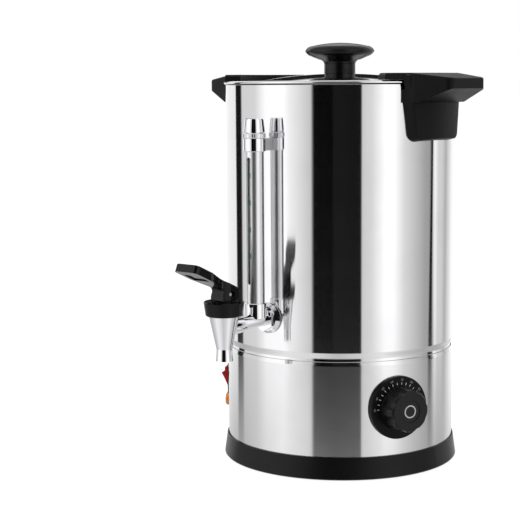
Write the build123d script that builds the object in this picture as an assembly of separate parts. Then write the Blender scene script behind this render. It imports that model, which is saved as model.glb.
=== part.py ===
"""Countertop coffee urn: lift-off lid, side handles, sight gauge and a pour tap.

Frame: +Z up, origin at the middle of the plane that the feet stand on.
The tap points to -Y, the handles are on +X and -X. All sizes are in millimetres.
"""
from build123d import *
import os
from math import atan2, cos, degrees, radians, sin, tan

# ---- Fits, fasteners and small standard sizes ----
screw_radius = 2.0           # M4 screws
screw_fit = 0.1              # radial gap of a screw in its hole
screw_head_radius = 3.8
thread_fit = 0.02            # radial gap between a thread and its nut or tapped hole
thread_radius = 1.95         # M4 screw cut into plastic or a tapped hole
tapped_radius = thread_radius + thread_fit
sheet_seat = 0.02            # gap between a soft or flat piece and the sheet it presses on
face_fit = 0.02              # gap under trim that seats on a curved wall
pin_fit = 0.05               # radial gap of a pin or shaft in its bore
run_gap = 0.3                # gap between faces that move past each other
edge_break = 0.6
tab_width = 6.3              # push-on terminal tabs
tab_thickness = 0.8
tab_length = 8.0
wall_cut = 12.0              # depth of a cut that has to pass through a wall

# ---- Drum: body shell, lower casing, rim ----
body_radius = 110.0          # outside of the upper shell
body_wall = 0.6
casing_step = 0.4            # the lower casing is this much smaller in radius
casing_wall = 0.7
joint_z = 109.6              # top edge of the lower casing, bottom of the pressed groove
groove_depth = 2.2
groove_rise = 8.4            # height over which the shell flares out of the groove
groove_lip = 0.2             # start of the flare above the groove's lower edge
groove_round = 4.0
casing_roll = 3.2            # height and depth of the casing's turned-in top edge
casing_tuck = 0.9
casing_round = 2.5
spigot_drop = 9.0            # how far the shell goes down inside the lower casing
body_height = 252.9          # from the groove to the middle of the rim bead
rim_bead = 1.9               # radius of the rolled rim bead
sheet_fit = 0.1              # gap between sheets that nest
shell_stop = 0.6             # the shell's upper edge below the middle of the rim bead
casing_radius = body_radius - casing_step
rim_z = joint_z + body_height

# ---- Tank ----
tank_gap = 5.4               # air gap between shell and tank
tank_wall = 0.8
floor_rise = 12.4            # underside of the tank floor above the groove
tank_corner = 13.0
ledge_drop = 3.5             # seat of the lid below the bead's middle
ledge_width = 4.0
ledge_round = 0.9
tank_radius = body_radius - body_wall - tank_gap
tank_floor_z = joint_z + floor_rise
ledge_z = rim_z - ledge_drop

# ---- Base ring, feet, bottom plate ----
ring_lap = 1.3               # wall of the ring at its top edge, outside the casing
ring_flare = 2.7
ring_top_z = 21.5
foot_proud = 1.0             # the feet stand this far below the ring
shelf_z = 10.0               # seat of the casing and the bottom plate
shelf_thickness = 2.6
shelf_width = 10.6
ring_fit = 0.15
rib_count = 24
rib_thickness = 1.6
foot_inset = 6.1             # foot and screw circle inside the casing's outside
foot_radius = 6.0
foot_height = 5.0
foot_stem_radius = 2.0
rib_inset = 2.4              # outer end of a rib inside the ring's foot
plate_thickness = 0.8
vent_count = 12
vent_length = 16.0
vent_width = 3.2
vent_circle = 85.0
screw_head_height = 2.4
ring_top_radius = casing_radius + ring_lap
ring_foot_radius = ring_top_radius + ring_flare
shelf_inner = casing_radius - shelf_width
foot_circle = casing_radius - foot_inset

# ---- Ties, heater ----
tie_circle = 70.0
tie_radius = 2.5
tie_nut_flats = 8.0
nut_height = 4.0
spreader_radius = 62.0
spreader_thickness = 4.0
element_circle = 50.0
element_radius = 4.0
element_sink = 1.6           # centre of the element below the spreader's underside
element_gap_deg = 50.0
element_bend = 10.0
element_tail = 18.0
cutout_size = (30.0, 22.0, 26.0)
reset_neck_radius = 4.8
reset_radius = 2.6
reset_bore = 3.0
reset_neck_low = 4.5         # these four are measured down or up from the bottom plate's seat
reset_low = 7.0
reset_high = 4.3
reset_bore_top = 6.8
cutout_nut_flats = 14.0
cutout_nut_height = 3.5

# ---- Controls on the lower casing ----
dial_azimuth = -24.5         # measured from +X
switch_azimuth = -153.5
dial_z = 66.1
dial_plate_radius = 29.3
dial_plate_proud = 2.9
dial_wall = 1.8
knob_radius = 20.5
knob_length = 18.7
knob_lobes = 8
knob_recess_radius = 10.0
knob_recess = 1.4
knob_lift = 0.8              # running gap between knob and plate
shaft_radius = 3.0
dial_screw_spacing = 28.0
dial_skirt = 6.0             # depth of the plate behind the casing's outside, before it is trimmed
dial_screw_length = 9.0      # from the casing's outside to the screw's end
dial_sink = 2.4              # depth of the screw heads' recesses
bush_radius = 4.6            # threaded bushing of the thermostat
bush_fit = 0.2
thermostat_back = 26.0
thermostat_size = (38.0, 44.0, 22.0)
knob_taper = 1.0
knob_scoop_radius = 9.0
knob_scoop_depth = 1.3
knob_scoop_start = 4.0
knob_wall = 4.5
knob_hub_radius = 6.0
knob_face_wall = 4.7
knob_round = 3.5             # rounding of the front edge
knob_scoop_lean = 4.0        # degrees, so the scoops run out towards the foot
knob_web = 1.4
shaft_depth = 12.0           # inner end of the shaft behind the casing's outside
shaft_flat = 2.8             # depth of the D flat's edge from the shaft's axis
shaft_grip = knob_length - 6.0# length of the shaft inside the knob
switch_z = 70.3
switch_width = 22.0
switch_height = 31.0
switch_depth = 24.0
bezel_width = 1.5
bezel_proud = 2.0
rocker_width = 14.4
rocker_half = 11.9
rocker_ridge = 6.8           # height of the ridge above the rocker's pin
rocker_fin = (7.1, 8.8)      # tip of the finger fin above and outside the rocker's pin
rocker_fin_wall = 1.8
rocker_keel = 4.6            # lowest line of the rocker inside its pin
rocker_keel_half = 2.5
pocket_play = 0.9            # room for the rocker's ends in the pocket
pocket_depth = 9.0
rocker_tilt_deg = 12.0
rocker_pin_radius = 1.5
rocker_sink = 1.0            # rocker pin behind the casing's outside
lamp_z = 47.8
lamp_radius = 6.75
lamp_proud = 6.0
lamp_flange = 1.0
lamp_wall = 1.2
lamp_depth = 15.0
gland_z = 34.0
gland_radius = 11.0
gland_thread = 7.9
gland_bore = 4.0
gland_inside = 12.0
gland_outside = 17.0
terminal_y = 62.0
terminal_spacing = 14.0

dial_screw_xs = (-dial_screw_spacing / 2, dial_screw_spacing / 2)
lamp_barrel_radius = lamp_radius - 0.8
gland_azimuth = 90.0

# ---- Tap ----
tap_projection = 62.6        # tap axis in front of the drum wall
tap_rise = 25.7              # centre line of the shank above the tank floor
shank_radius = 6.5
shank_bore = 4.0
shank_fit = 0.3              # radial gap of the shank in the walls
shank_inside = 10.0          # length of the shank inside the tank
flange_radius = 14.0
flange_proud = 4.6
nut_flats = 20.0
nut_thickness = 4.2
nut_setback = 1.5            # inner nut from the shank's end
shank_seat = 12.6            # end of the shank short of the tap's axis
boss_wall = 1.9
boss_reach = 19.5            # start of the tap's boss short of its axis
seal_radius = 11.0
gauge_channel = 2.5          # radius of the passage between shank and gauge
chamber_wall = 1.8
chamber_low = 4.0            # bottom of the tap's chamber above the shank's centre line
cup_stem_depth = 3.5         # bottom of the stem above the bottom of the cup
pin_cover = 2.6              # top of the stem above its pin
stem_flat = 1.2
spring_radius = 4.6
spring_wire_radius = 0.5
spring_turns = 5
pin_short = 0.8              # the pin is this much shorter than the heel is wide
cone_above = 10.2            # top of the cone above the shank's centre line
cone_top_radius = 13.7
neck_below = 19.6
cone_neck_radius = 7.25
spout_below = 30.3
spout_radius = 8.0
spout_bore = 4.7
seat_above_neck = 2.0
seat_radius = 6.4            # wide end of the conical seat
seat_rise = 2.0
seat_gap = 0.4               # the cup at rest stands this far above the seat
cup_height = 10.0
bonnet_height = 12.9
bonnet_low_radius = 16.6
bonnet_top_radius = 18.2
neck_step = 1.9              # the threaded neck inside the bonnet is this much smaller
neck_length = 7.5
seal_thickness = 1.0
stem_radius = 3.0
pin_radius = 1.5
pin_above = 6.7              # lever pin above the bonnet
pivot_reach = 8.1            # lever pivot in front of the tap axis
heel_round = 1.5
lever_press_deg = 25.0
lever_width = 26.8
heel_width = 16.5
neck_width = 12.6            # narrowest part of the lever, over its pivot
neck_reach = 9.0             # narrowest part and start of the full width, in front of the tap axis
paddle_reach = 29.0
lever_length = 59.2          # along the tap's direction, rear corner to tip
lever_rear = 10.8            # rear of the heel behind the tap axis
lever_rise = 26.3            # tip above the rear corner
heel_height = 12.0           # rear corner above the bonnet
paddle_thickness = 7.5
heel_lean = 2.7              # the heel's front leans back this far below the arm
heel_face = 3.0              # upright part of the heel's front above the pivot
arm_fillet = 4.0
tip_round = 5.0
lever_soft = 1.2             # rounding of the paddle's edges
slot_play = 0.7              # the pin's slot is this much wider than the pin
fork_behind = 5.0            # fork slot behind and in front of the stem
fork_before = 1.6
fork_ceiling = 4.5           # top of the fork slot above the pin
finger_pad = (18.0, 16.0, 1.0)  # width, length and depth of the hollow under the paddle
tap_reach = body_radius + tap_projection
tap_z = tank_floor_z + tap_rise
shank_inner_end = tank_radius - shank_inside
cone_top_z = tap_z + cone_above
cone_neck_z = tap_z - neck_below
spout_z = tap_z - spout_below
bonnet_top_z = cone_top_z + bonnet_height
neck_radius = cone_top_radius - neck_step
seat_z = cone_neck_z + seat_above_neck
seat_slope = (seat_radius - spout_bore) / seat_rise
cup_low = seat_z - 0.6
cup_top = cup_low + cup_height
pin_z = bonnet_top_z + pin_above
pivot_z = bonnet_top_z + run_gap + heel_round

# ---- Sight gauge ----
gauge_stand = 19.0           # gauge axis in front of the drum wall
gauge_base_sink = 2.3        # lower edge of the base above the shank's centre line
gauge_base_height = 14.4
guard_length = 137.1
guard_radius = 8.5
guard_wall = 1.2
slot_start = 17.2            # from the guard's lower end
slot_end = 5.0               # from the guard's upper end
slot_width = 4.4
collar_height = 12.0
gauge_ring_height = 4.6
knurl_count = 40
knurl_radius = 0.45
gauge_cap_height = 13.0
glass_radius = 5.0
glass_wall = 1.3
seal_height = 4.0
seal_pocket = 7.4
arm_width = 10.0             # at the wall
arm_front_width = 12.4       # at the collar
gauge_reach = body_radius + gauge_stand
gauge_base_low = tap_z + gauge_base_sink
gauge_base_top = gauge_base_low + gauge_base_height
guard_top = gauge_base_top + guard_length
guard_bore = guard_radius - guard_wall
gauge_base_radius = guard_radius + 1.5
gauge_ring_radius = guard_radius + 2.1
gauge_cap_low_radius = guard_radius + 1.25
gauge_cap_top_radius = guard_radius
collar_top = guard_top + collar_height
collar_mid = guard_top + collar_height / 2
collar_hole_end = gauge_reach - gauge_base_radius + 0.5
gauge_ring_top = collar_top + gauge_ring_height
gauge_cap_top = gauge_ring_top + gauge_cap_height

# ---- Handles ----
handle_azimuth = -2.5        # turn of the right handle from +X; the left one is opposite
pad_stand = 9.0              # outer face of the pad in front of the drum wall
pad_drop = 53.1              # lower edge of the pad below the rim
pad_half_top = 42.2          # half width at the wall, at the top
pad_half_low = 33.2
pad_draft_deg = 11.0
pad_corner = 9.0
pad_soft = 1.5
grip_stand = 38.4            # outer edge of the grip in front of the drum wall
grip_half = 26.5
grip_half_wall = 38.0
grip_shoulder = 4.0          # the grip starts to narrow this far in front of the drum wall
grip_shoulder_round = 12.0
grip_corner_round = 8.0
grip_soft = 2.0
grip_low = -6.0              # these four heights are measured from the rim bead's middle
grip_top = 3.6
handle_top = 8.3
underside = -18.5
hook_inset = 12.0            # inner edge of the hook inside the drum wall
hook_half_deg = 30.4
hook_soft = 2.0
bead_notch = 6.4             # the pad is cut away this far below the bead's middle
hook_wall = 1.7              # outside of the hook beyond the rim bead
handle_screw_drops = (40.5, 21.5)
pad_radius = body_radius + pad_stand
pad_low = rim_z - pad_drop
grip_reach = body_radius + grip_stand
handle_top_z = rim_z + handle_top
underside_z = rim_z + underside
hook_inner = body_radius - hook_inset
bead_radius = body_radius - body_wall / 2 + rim_bead
hook_radius = bead_radius + hook_wall
handle_screw_zs = [rim_z - drop for drop in handle_screw_drops]

# ---- Lid ----
lid_crown = 8.8              # apex above the rim bead's middle
lid_dome_radius = 440.0
lid_wall = 0.8
lid_play = 0.9               # gap round the lid's flange
lid_flange_width = 12.3
lid_hook_gap = 0.8           # gap between the lid's notches and the hooks
lid_notch_deg = 31.5         # half angle of a notch
lid_seat_gap = 0.1
lid_neck_radius = 15.0
lid_knob_radius = 33.2
lid_knob_height = 29.1       # top of the knob above the lid's apex
lid_knob_edge = 8.2          # widest line below the knob's top
lid_knob_cove = 4.5
lid_knob_under = 16.0        # outer end of the cove below the knob's top
lid_screw_bore = 2.6
lid_screw_reach = 11.0       # end of the lid's screw above the apex
lid_boss_radius = 4.5
lid_washer_radius = 6.0
lid_washer_thickness = 0.8
lid_apex_z = rim_z + lid_crown
lid_flange = tank_radius - tank_wall + ledge_width - lid_play
lid_dome_edge = lid_flange - lid_flange_width
lid_notch = hook_inner - lid_hook_gap
lid_knob_top = lid_apex_z + lid_knob_height

STANDING = (Align.CENTER, Align.CENTER, Align.MIN)
REACH = 2 * lid_knob_top     # longer than the whole urn, for trimming


def bar(radius, low, high, x=0.0, y=0.0):
    """Upright round bar from low to high."""
    return Pos(x, y, low) * Cylinder(radius, high - low, align=STANDING)


def turned(outline, x=0.0, y=0.0):
    """Solid of revolution about an upright axis, from (radius, z) corners."""
    section = Plane.XZ * Polygon(*outline, align=None)
    return Pos(x, y, 0) * revolve(section, Axis.Z)


def spun_sheet(middle_line, thickness):
    """Spun sheet metal: a (radius, z) line given a thickness and revolved."""
    return revolve(Plane.XZ * trace(middle_line, thickness), Axis.Z)


def hexagon(flats, low, high, x=0.0, y=0.0):
    """Upright hexagonal prism with the given width across flats."""
    outline = RegularPolygon(flats / 2, 6, major_radius=False)
    return Pos(x, y, low) * extrude(outline, high - low)


def station(azimuth, z, radius=casing_radius):
    """Plane on the drum wall: its z looks outward, its y is up, its x runs round the drum."""
    outward = Vector(cos(radians(azimuth)), sin(radians(azimuth)), 0)
    across = Vector(0, 0, 1).cross(outward)
    return Plane(origin=outward * radius + Vector(0, 0, z), x_dir=across, z_dir=outward)


def on_circle(radius, azimuths):
    """(x, y) places on a circle round the drum axis."""
    return [(radius * cos(radians(a)), radius * sin(radians(a))) for a in azimuths]


def outward_bar(radius, near, far, z=0.0, x=0.0):
    """Round bar along -Y, between two distances from the drum axis."""
    return Pos(x, -near, z) * Rot(90, 0, 0) * Cylinder(radius, far - near, align=STANDING)


def ring_sector(inner, outer, low, high, half_deg):
    """Part of an upright ring about the drum axis, the same way each side of +X."""
    far = 2 * outer
    rise = far * tan(radians(half_deg))
    wedge = extrude(Polygon((0, 0), (far, -rise), (far, rise), align=None), high - low)
    return (bar(outer, low, high) - bar(inner, low, high)) & Pos(0, 0, low) * wedge


FEET = on_circle(foot_circle, (45, 135, 225, 315))
BASE_SCREWS = on_circle(foot_circle, (0, 90, 180, 270))
TIES = on_circle(tie_circle, (30, 150, 270))
CUTOUT = (-42.0, -34.0)
TERMINAL_XS = (-terminal_spacing, 0, terminal_spacing)


# ---------------------------------------------------------------- drum and tank
def make_body_shell():
    middle = body_radius - body_wall / 2
    spigot = middle - groove_depth
    line = FilletPolyline(
        (spigot, joint_z - spigot_drop),
        (spigot, joint_z + groove_lip),
        (middle, joint_z + groove_rise),
        (middle, rim_z - shell_stop),
        radius=groove_round,
    )
    shell = spun_sheet(line, body_wall)
    screw_hole = screw_radius + screw_fit
    shell -= outward_bar(shank_radius + shank_fit, tank_radius, pad_radius, tap_z)
    shell -= outward_bar(screw_hole, tank_radius, pad_radius, collar_mid)
    for z in handle_screw_zs:
        shell -= Rot(0, 0, handle_azimuth) * Pos(0, 0, z) * Rot(0, 90, 0) * Cylinder(screw_hole, REACH)
    return shell


def make_inner_tank():
    middle = tank_radius - tank_wall / 2
    seat = ledge_z - tank_wall / 2
    line = FilletPolyline(
        (0, tank_floor_z + tank_wall / 2),
        (middle, tank_floor_z + tank_wall / 2),
        (middle, seat),
        (middle + ledge_width, seat),
        (middle + ledge_width, rim_z),
        radius=(tank_corner, ledge_round, ledge_round),
    )
    bead_middle = body_radius - body_wall / 2
    bead = Pos(bead_middle, rim_z) * Circle(rim_bead)
    nest_height = 2 * (rim_bead - shell_stop + sheet_fit)
    bead -= Pos(bead_middle, rim_z - rim_bead) * Rectangle(body_wall + 2 * sheet_fit, nest_height)
    tank = spun_sheet(line, tank_wall) + revolve(Plane.XZ * bead, Axis.Z)
    return tank - outward_bar(shank_radius + shank_fit, shank_inner_end, body_radius, tap_z)


def make_lower_casing():
    middle = casing_radius - casing_wall / 2
    line = FilletPolyline(
        (middle, shelf_z),
        (middle, joint_z - casing_roll),
        (middle - casing_tuck, joint_z),
        radius=casing_round,
    )
    casing = spun_sheet(line, casing_wall)
    dial = station(dial_azimuth, dial_z)
    casing -= dial * Cylinder(bush_radius + 3 * bush_fit, wall_cut)
    for x in dial_screw_xs:
        casing -= dial * Pos(x, 0, 0) * Cylinder(screw_radius + screw_fit, wall_cut)
    window = Box(switch_width - 2 * bezel_width + 0.4, switch_height - 2 * bezel_width - 0.6, wall_cut)
    casing -= station(switch_azimuth, switch_z) * window
    casing -= station(switch_azimuth, lamp_z) * Cylinder(lamp_barrel_radius + screw_fit, wall_cut)
    casing -= station(gland_azimuth, gland_z) * Cylinder(gland_thread + 2 * screw_fit, wall_cut)
    return casing


# ---------------------------------------------------------------- base
def make_base_ring():
    shelf_low = shelf_z - shelf_thickness
    ring = turned([
        (ring_foot_radius - 1.0, foot_proud),
        (ring_foot_radius, foot_proud + 1.2),
        (ring_top_radius, ring_top_z),
        (casing_radius + ring_fit, ring_top_z),
        (casing_radius + ring_fit, shelf_z),
        (shelf_inner, shelf_z),
        (shelf_inner, shelf_low),
        (ring_foot_radius - rib_inset - 0.2, shelf_low),
        (ring_foot_radius - rib_inset + 0.2, foot_proud),
    ])
    rib_low = foot_proud + 1.5
    rib_length = ring_foot_radius - rib_inset - shelf_inner
    rib = Box(rib_length, rib_thickness, shelf_low - rib_low, align=(Align.MIN, Align.CENTER, Align.MIN))
    for index in range(rib_count):
        ring += Rot(0, 0, (index + 0.5) * 360 / rib_count) * Pos(shelf_inner, 0, rib_low) * rib
    for x, y in FEET:
        ring += bar(foot_radius + rib_thickness, foot_proud + 1.0, shelf_low, x, y)
    for x, y in FEET:
        ring -= bar(foot_radius + screw_fit, 0, foot_height, x, y)
        ring -= bar(foot_stem_radius + screw_fit, foot_height, shelf_z, x, y)
    for x, y in BASE_SCREWS:
        ring -= bar(screw_radius + screw_fit, shelf_low, shelf_z, x, y)
    return ring


def make_feet():
    stem_top = shelf_z - edge_break
    corners = [
        (0, 0), (foot_radius - edge_break, 0), (foot_radius, edge_break), (foot_radius, foot_height),
        (foot_stem_radius, foot_height), (foot_stem_radius, stem_top), (0, stem_top)]
    return [turned(corners, x, y) for x, y in FEET]


def make_bottom_plate():
    plate = bar(casing_radius - casing_wall - edge_break, shelf_z, shelf_z + plate_thickness)
    vent = Pos(vent_circle, 0, shelf_z) * SlotOverall(vent_length, vent_width)
    for index in range(vent_count):
        turn = Rot(0, 0, (index + 0.5) * 360 / vent_count)
        plate -= extrude(turn * vent, plate_thickness)
    for x, y in BASE_SCREWS:
        plate -= bar(screw_radius + screw_fit, 0, REACH, x, y)
    for x, y in TIES:
        plate -= bar(tie_radius + 2 * screw_fit, 0, REACH, x, y)
    return plate - bar(reset_neck_radius + 2 * screw_fit, 0, REACH, *CUTOUT)


def make_base_screws():
    seat = shelf_z - shelf_thickness
    head = seat - screw_head_height
    tip = shelf_z + 4.0
    head_edge = screw_head_radius - 1.0
    corners = [
        (0, head), (head_edge, head), (screw_head_radius, head + 1.0), (screw_head_radius, seat),
        (screw_radius, seat), (screw_radius, tip), (0, tip)]
    return [turned(corners, x, y) for x, y in BASE_SCREWS]


def make_tie_studs():
    return [bar(tie_radius, shelf_z - nut_height - 1.0, tank_floor_z, x, y) for x, y in TIES]


def make_tie_nuts():
    nuts = []
    for x, y in TIES:
        nut = hexagon(tie_nut_flats, shelf_z - nut_height, shelf_z, x, y)
        nuts.append(nut - bar(tie_radius + thread_fit, 0, shelf_z, x, y))
    return nuts


# ---------------------------------------------------------------- heater and cut-out
def make_heat_spreader():
    low = tank_floor_z - spreader_thickness
    plate = bar(spreader_radius, low, tank_floor_z)
    plate -= Pos(0, 0, low - element_sink) * Torus(element_circle, element_radius + screw_fit)
    return plate


def element_ends():
    """The two ends of the ring, with the way each tail leaves it."""
    z = tank_floor_z - spreader_thickness - element_sink
    half = element_gap_deg / 2
    ends = []
    for side in (-1, 1):
        angle = radians(90 + side * half)
        point = Vector(element_circle * cos(angle), element_circle * sin(angle), z)
        along = Vector(side * sin(angle), -side * cos(angle), 0)
        ends.append((point, along))
    return ends


def make_heating_element():
    (first, first_way), (last, last_way) = element_ends()
    drop = Vector(0, 0, -element_bend)
    lean = 0.70710678
    pieces = []
    for point, way in ((first, first_way), (last, last_way)):
        foot = point + way * element_bend + drop
        middle = point + way * (element_bend * lean) + drop * (1 - lean)
        pieces.append(ThreePointArc(point, middle, foot))
        pieces.append(Line(foot, foot + Vector(0, 0, -element_tail)))
    ring = ThreePointArc(first, Vector(0, -element_circle, first.Z), last)
    path = Wire(Wire.combine([ring.edge()] + [piece.edge() for piece in pieces])[0].edges())
    start = last + last_way * element_bend + drop + Vector(0, 0, -element_tail)
    section = Plane(origin=start, z_dir=(0, 0, 1)) * Circle(element_radius)
    return sweep(section, path)


def make_element_tabs():
    tabs = []
    for point, way in element_ends():
        foot = point + way * element_bend + Vector(0, 0, -element_bend - element_tail - tab_length)
        tab = Pos(foot.X, foot.Y, foot.Z) * Box(tab_width, tab_thickness, tab_length, align=STANDING)
        tabs.append(tab - Pos(foot.X, foot.Y, foot.Z + tab_length / 2) * Rot(90, 0, 0) * Cylinder(0.9, 4))
    return tabs


def make_cutout_body():
    x, y = CUTOUT
    floor = shelf_z + plate_thickness
    body = Pos(x, y, floor) * Box(*cutout_size, align=STANDING)
    body += bar(reset_neck_radius, shelf_z - reset_neck_low, floor, x, y)
    body -= bar(reset_bore, 0, shelf_z + reset_bore_top, x, y)
    for side in (-1, 1):
        tab = Box(tab_width, tab_thickness, tab_length, align=STANDING)
        body += Pos(x + side * tab_length, y, floor + cutout_size[2]) * tab
    return body


def make_cutout_nut():
    nut = hexagon(cutout_nut_flats, shelf_z - cutout_nut_height, shelf_z, *CUTOUT)
    return nut - bar(reset_neck_radius + thread_fit, 0, shelf_z, *CUTOUT)


def make_reset_button():
    top = shelf_z + reset_high
    low = shelf_z - reset_low
    return turned([
        (0, low), (reset_radius - edge_break, low), (reset_radius, low + edge_break), (reset_radius, top),
        (0, top)], *CUTOUT)


# ---------------------------------------------------------------- dial
def make_dial_plate():
    depth = dial_skirt + dial_plate_proud
    back = Pos(0, 0, -dial_skirt)
    seat = dial_plate_proud - dial_sink
    boss = screw_head_radius + dial_wall
    cup = back * Cylinder(dial_plate_radius, depth, align=STANDING)
    cup = chamfer(cup.faces().sort_by(Axis.Z)[-1].edges(), edge_break)
    cup -= back * Cylinder(dial_plate_radius - dial_wall, depth - dial_wall, align=STANDING)
    cup += back * Cylinder(2 * bush_radius, depth - dial_wall / 2, align=STANDING)
    for x in dial_screw_xs:
        cup += back * Pos(x, 0, 0) * Cylinder(boss, depth - dial_wall / 2, align=STANDING)
        cup -= Pos(x, 0, seat) * Cylinder(screw_head_radius + screw_fit, wall_cut, align=STANDING)
        cup -= Pos(x, 0, 0) * Cylinder(screw_radius + screw_fit, 2 * wall_cut)
    cup -= Cylinder(bush_radius + bush_fit, 2 * wall_cut)
    return station(dial_azimuth, dial_z) * cup - bar(casing_radius + face_fit, 0, REACH)


def make_dial_screws():
    seat = dial_plate_proud - dial_sink
    reach = seat + dial_screw_length
    head_height = dial_sink - 2 * screw_fit
    head = Pos(0, 0, seat) * Cylinder(screw_head_radius - screw_fit, head_height, align=STANDING)
    screw = head + Pos(0, 0, -dial_screw_length) * Cylinder(screw_radius, reach, align=STANDING)
    return [station(dial_azimuth, dial_z) * Pos(x, 0, 0) * screw for x in dial_screw_xs]


def make_thermostat_body():
    place = station(dial_azimuth, dial_z)
    width, height, depth = thermostat_size
    body = Pos(0, 0, -thermostat_back) * Box(width, height, depth, align=STANDING)
    body = fillet(body.edges().filter_by(Axis.Z), 3)
    front = depth - thermostat_back
    for x in dial_screw_xs:
        body += Pos(x, 0, front) * Cylinder(screw_radius + dial_wall, -front, align=STANDING)
        hole = Cylinder(screw_radius + thread_fit, REACH, align=STANDING)
        body -= Pos(x, 0, -dial_screw_length - bush_fit) * hole
    for x in (-9, 0, 9):
        tab = Box(tab_width, tab_length, tab_thickness, align=(Align.CENTER, Align.MAX, Align.MIN))
        body += Pos(x, -height / 2, 6 - thermostat_back) * tab
    body = (place * body) & bar(casing_radius - casing_wall - face_fit, 0, REACH)
    bush = Pos(0, 0, front) * Cylinder(bush_radius, dial_plate_proud - bush_fit - front, align=STANDING)
    bore = Pos(0, 0, -shaft_depth - bush_fit) * Cylinder(shaft_radius + pin_fit, REACH, align=STANDING)
    return body + place * bush - place * bore


def make_dial_shaft():
    back = dial_plate_proud + knob_lift
    length = shaft_depth + back + shaft_grip
    shaft = Pos(0, 0, -shaft_depth) * Cylinder(shaft_radius, length, align=STANDING)
    flat = Pos(shaft_radius, 0, back) * Box(2 * (shaft_radius - shaft_flat / 2), 8, 30, align=STANDING)
    return station(dial_azimuth, dial_z) * (shaft - flat)


def make_dial_knob():
    """Lobed knob, hollow behind, with a D bore in a hub that four webs hold."""
    grip_radius = knob_radius - knob_taper / 2
    knob = turned([
        (0, 0), (knob_radius, 0), (knob_radius - knob_taper, knob_length), (0, knob_length)])
    knob = fillet(knob.faces().sort_by(Axis.Z)[-1].edges(), knob_round)
    scoop_reach = grip_radius + knob_scoop_radius - knob_scoop_depth
    for index in range(knob_lobes):
        scoop = Pos(scoop_reach, 0, knob_scoop_start) * Rot(0, -knob_scoop_lean, 0)
        scoop = scoop * Cylinder(knob_scoop_radius, 2 * knob_length, align=STANDING)
        knob -= Rot(0, 0, (index + 0.5) * 360 / knob_lobes) * scoop
    recess = Cylinder(knob_recess_radius, knob_length, align=STANDING)
    knob -= Pos(0, 0, knob_length - knob_recess) * recess
    hollow = Cylinder(knob_radius - knob_wall, knob_length - knob_face_wall, align=STANDING)
    hollow -= Cylinder(knob_hub_radius, knob_length, align=STANDING)
    for index in range(4):
        web = Pos(knob_radius / 2, 0, 4) * Box(knob_radius, knob_web, knob_length, align=STANDING)
        hollow -= Rot(0, 0, 45 + index * 90) * web
    bore = Cylinder(shaft_radius + thread_fit, shaft_grip + bush_fit, align=STANDING)
    flat_width = 2 * (shaft_radius - shaft_flat / 2)
    bore -= Pos(shaft_radius + thread_fit, 0, 0) * Box(flat_width, 8, 30, align=STANDING)
    place = station(dial_azimuth, dial_z) * Pos(0, 0, dial_plate_proud + knob_lift)
    return place * (knob - hollow - bore)


def make_knob_cap():
    front = dial_plate_proud + knob_lift + knob_length
    cap = Cylinder(knob_recess_radius - 4 * screw_fit, knob_recess - edge_break, align=STANDING)
    return station(dial_azimuth, dial_z) * Pos(0, 0, front - knob_recess) * cap


# ---------------------------------------------------------------- switch and lamp
def make_switch_body():
    place = station(switch_azimuth, switch_z)
    flange = Box(switch_width, switch_height, 2 * bezel_proud, align=STANDING)
    flange = fillet((Pos(0, 0, -bezel_proud) * flange).edges().filter_by(Axis.Z), 2)
    flange = chamfer(flange.faces().sort_by(Axis.Z)[-1].edges(), edge_break)
    flange = place * flange - bar(casing_radius + face_fit, 0, REACH)
    inner_width = switch_width - 2 * bezel_width
    inner_height = switch_height - 2 * bezel_width - 1.0
    box = Box(inner_width, inner_height, switch_depth + bezel_proud, align=STANDING)
    box = Pos(0, 0, -switch_depth) * box
    pocket_height = 2 * (rocker_half + pocket_play)
    pocket = Box(rocker_width + 2 * run_gap, pocket_height, 2 * wall_cut, align=STANDING)
    pocket = Pos(0, 0, -pocket_depth) * pocket
    pins = Rot(0, 90, 0) * Cylinder(rocker_pin_radius + pin_fit, rocker_width + 3.0)
    body = flange + place * box - place * pocket - place * Pos(0, 0, -rocker_sink) * pins
    for y in (-8, 0, 8):
        tab = Box(tab_width, tab_thickness, tab_length, align=(Align.CENTER, Align.CENTER, Align.MAX))
        body += place * Pos(0, y, -switch_depth) * tab
    return body


def make_rocker():
    """Rocker whose upper half stands level at rest, with a fin for the finger at its ridge."""
    fall = tan(radians(rocker_tilt_deg))
    end = rocker_ridge - rocker_half * fall
    fin_y, fin_z = rocker_fin
    along = Vector(fin_y, fin_z - rocker_ridge).normalized()
    fin_back = Vector(fin_y, fin_z) + Vector(along.Y, -along.X) * rocker_fin_wall
    run = (fin_back.Y - rocker_ridge + fin_back.X * fall) / (along.Y + along.X * fall)
    notch = fin_back - along * run
    side = rocker_half - edge_break
    outline = Polygon(
        rocker_fin, (0, rocker_ridge), (-rocker_half, end), (-side, -rocker_ridge / 4),
        (-rocker_keel_half, -rocker_keel), (rocker_keel_half, -rocker_keel), (side, -rocker_ridge / 4),
        (rocker_half, end), notch, fin_back, align=None)
    tips = outline.vertices().sort_by(Axis.Y)[-1]
    outline = fillet(tips, edge_break)
    rocker = extrude(Plane.YZ * outline, rocker_width / 2, both=True)
    rocker += Rot(0, 90, 0) * Cylinder(rocker_pin_radius, rocker_width + 2.4)
    tilt = Rot(rocker_tilt_deg, 0, 0)
    return station(switch_azimuth, switch_z) * Pos(0, 0, -rocker_sink) * tilt * rocker


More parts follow.
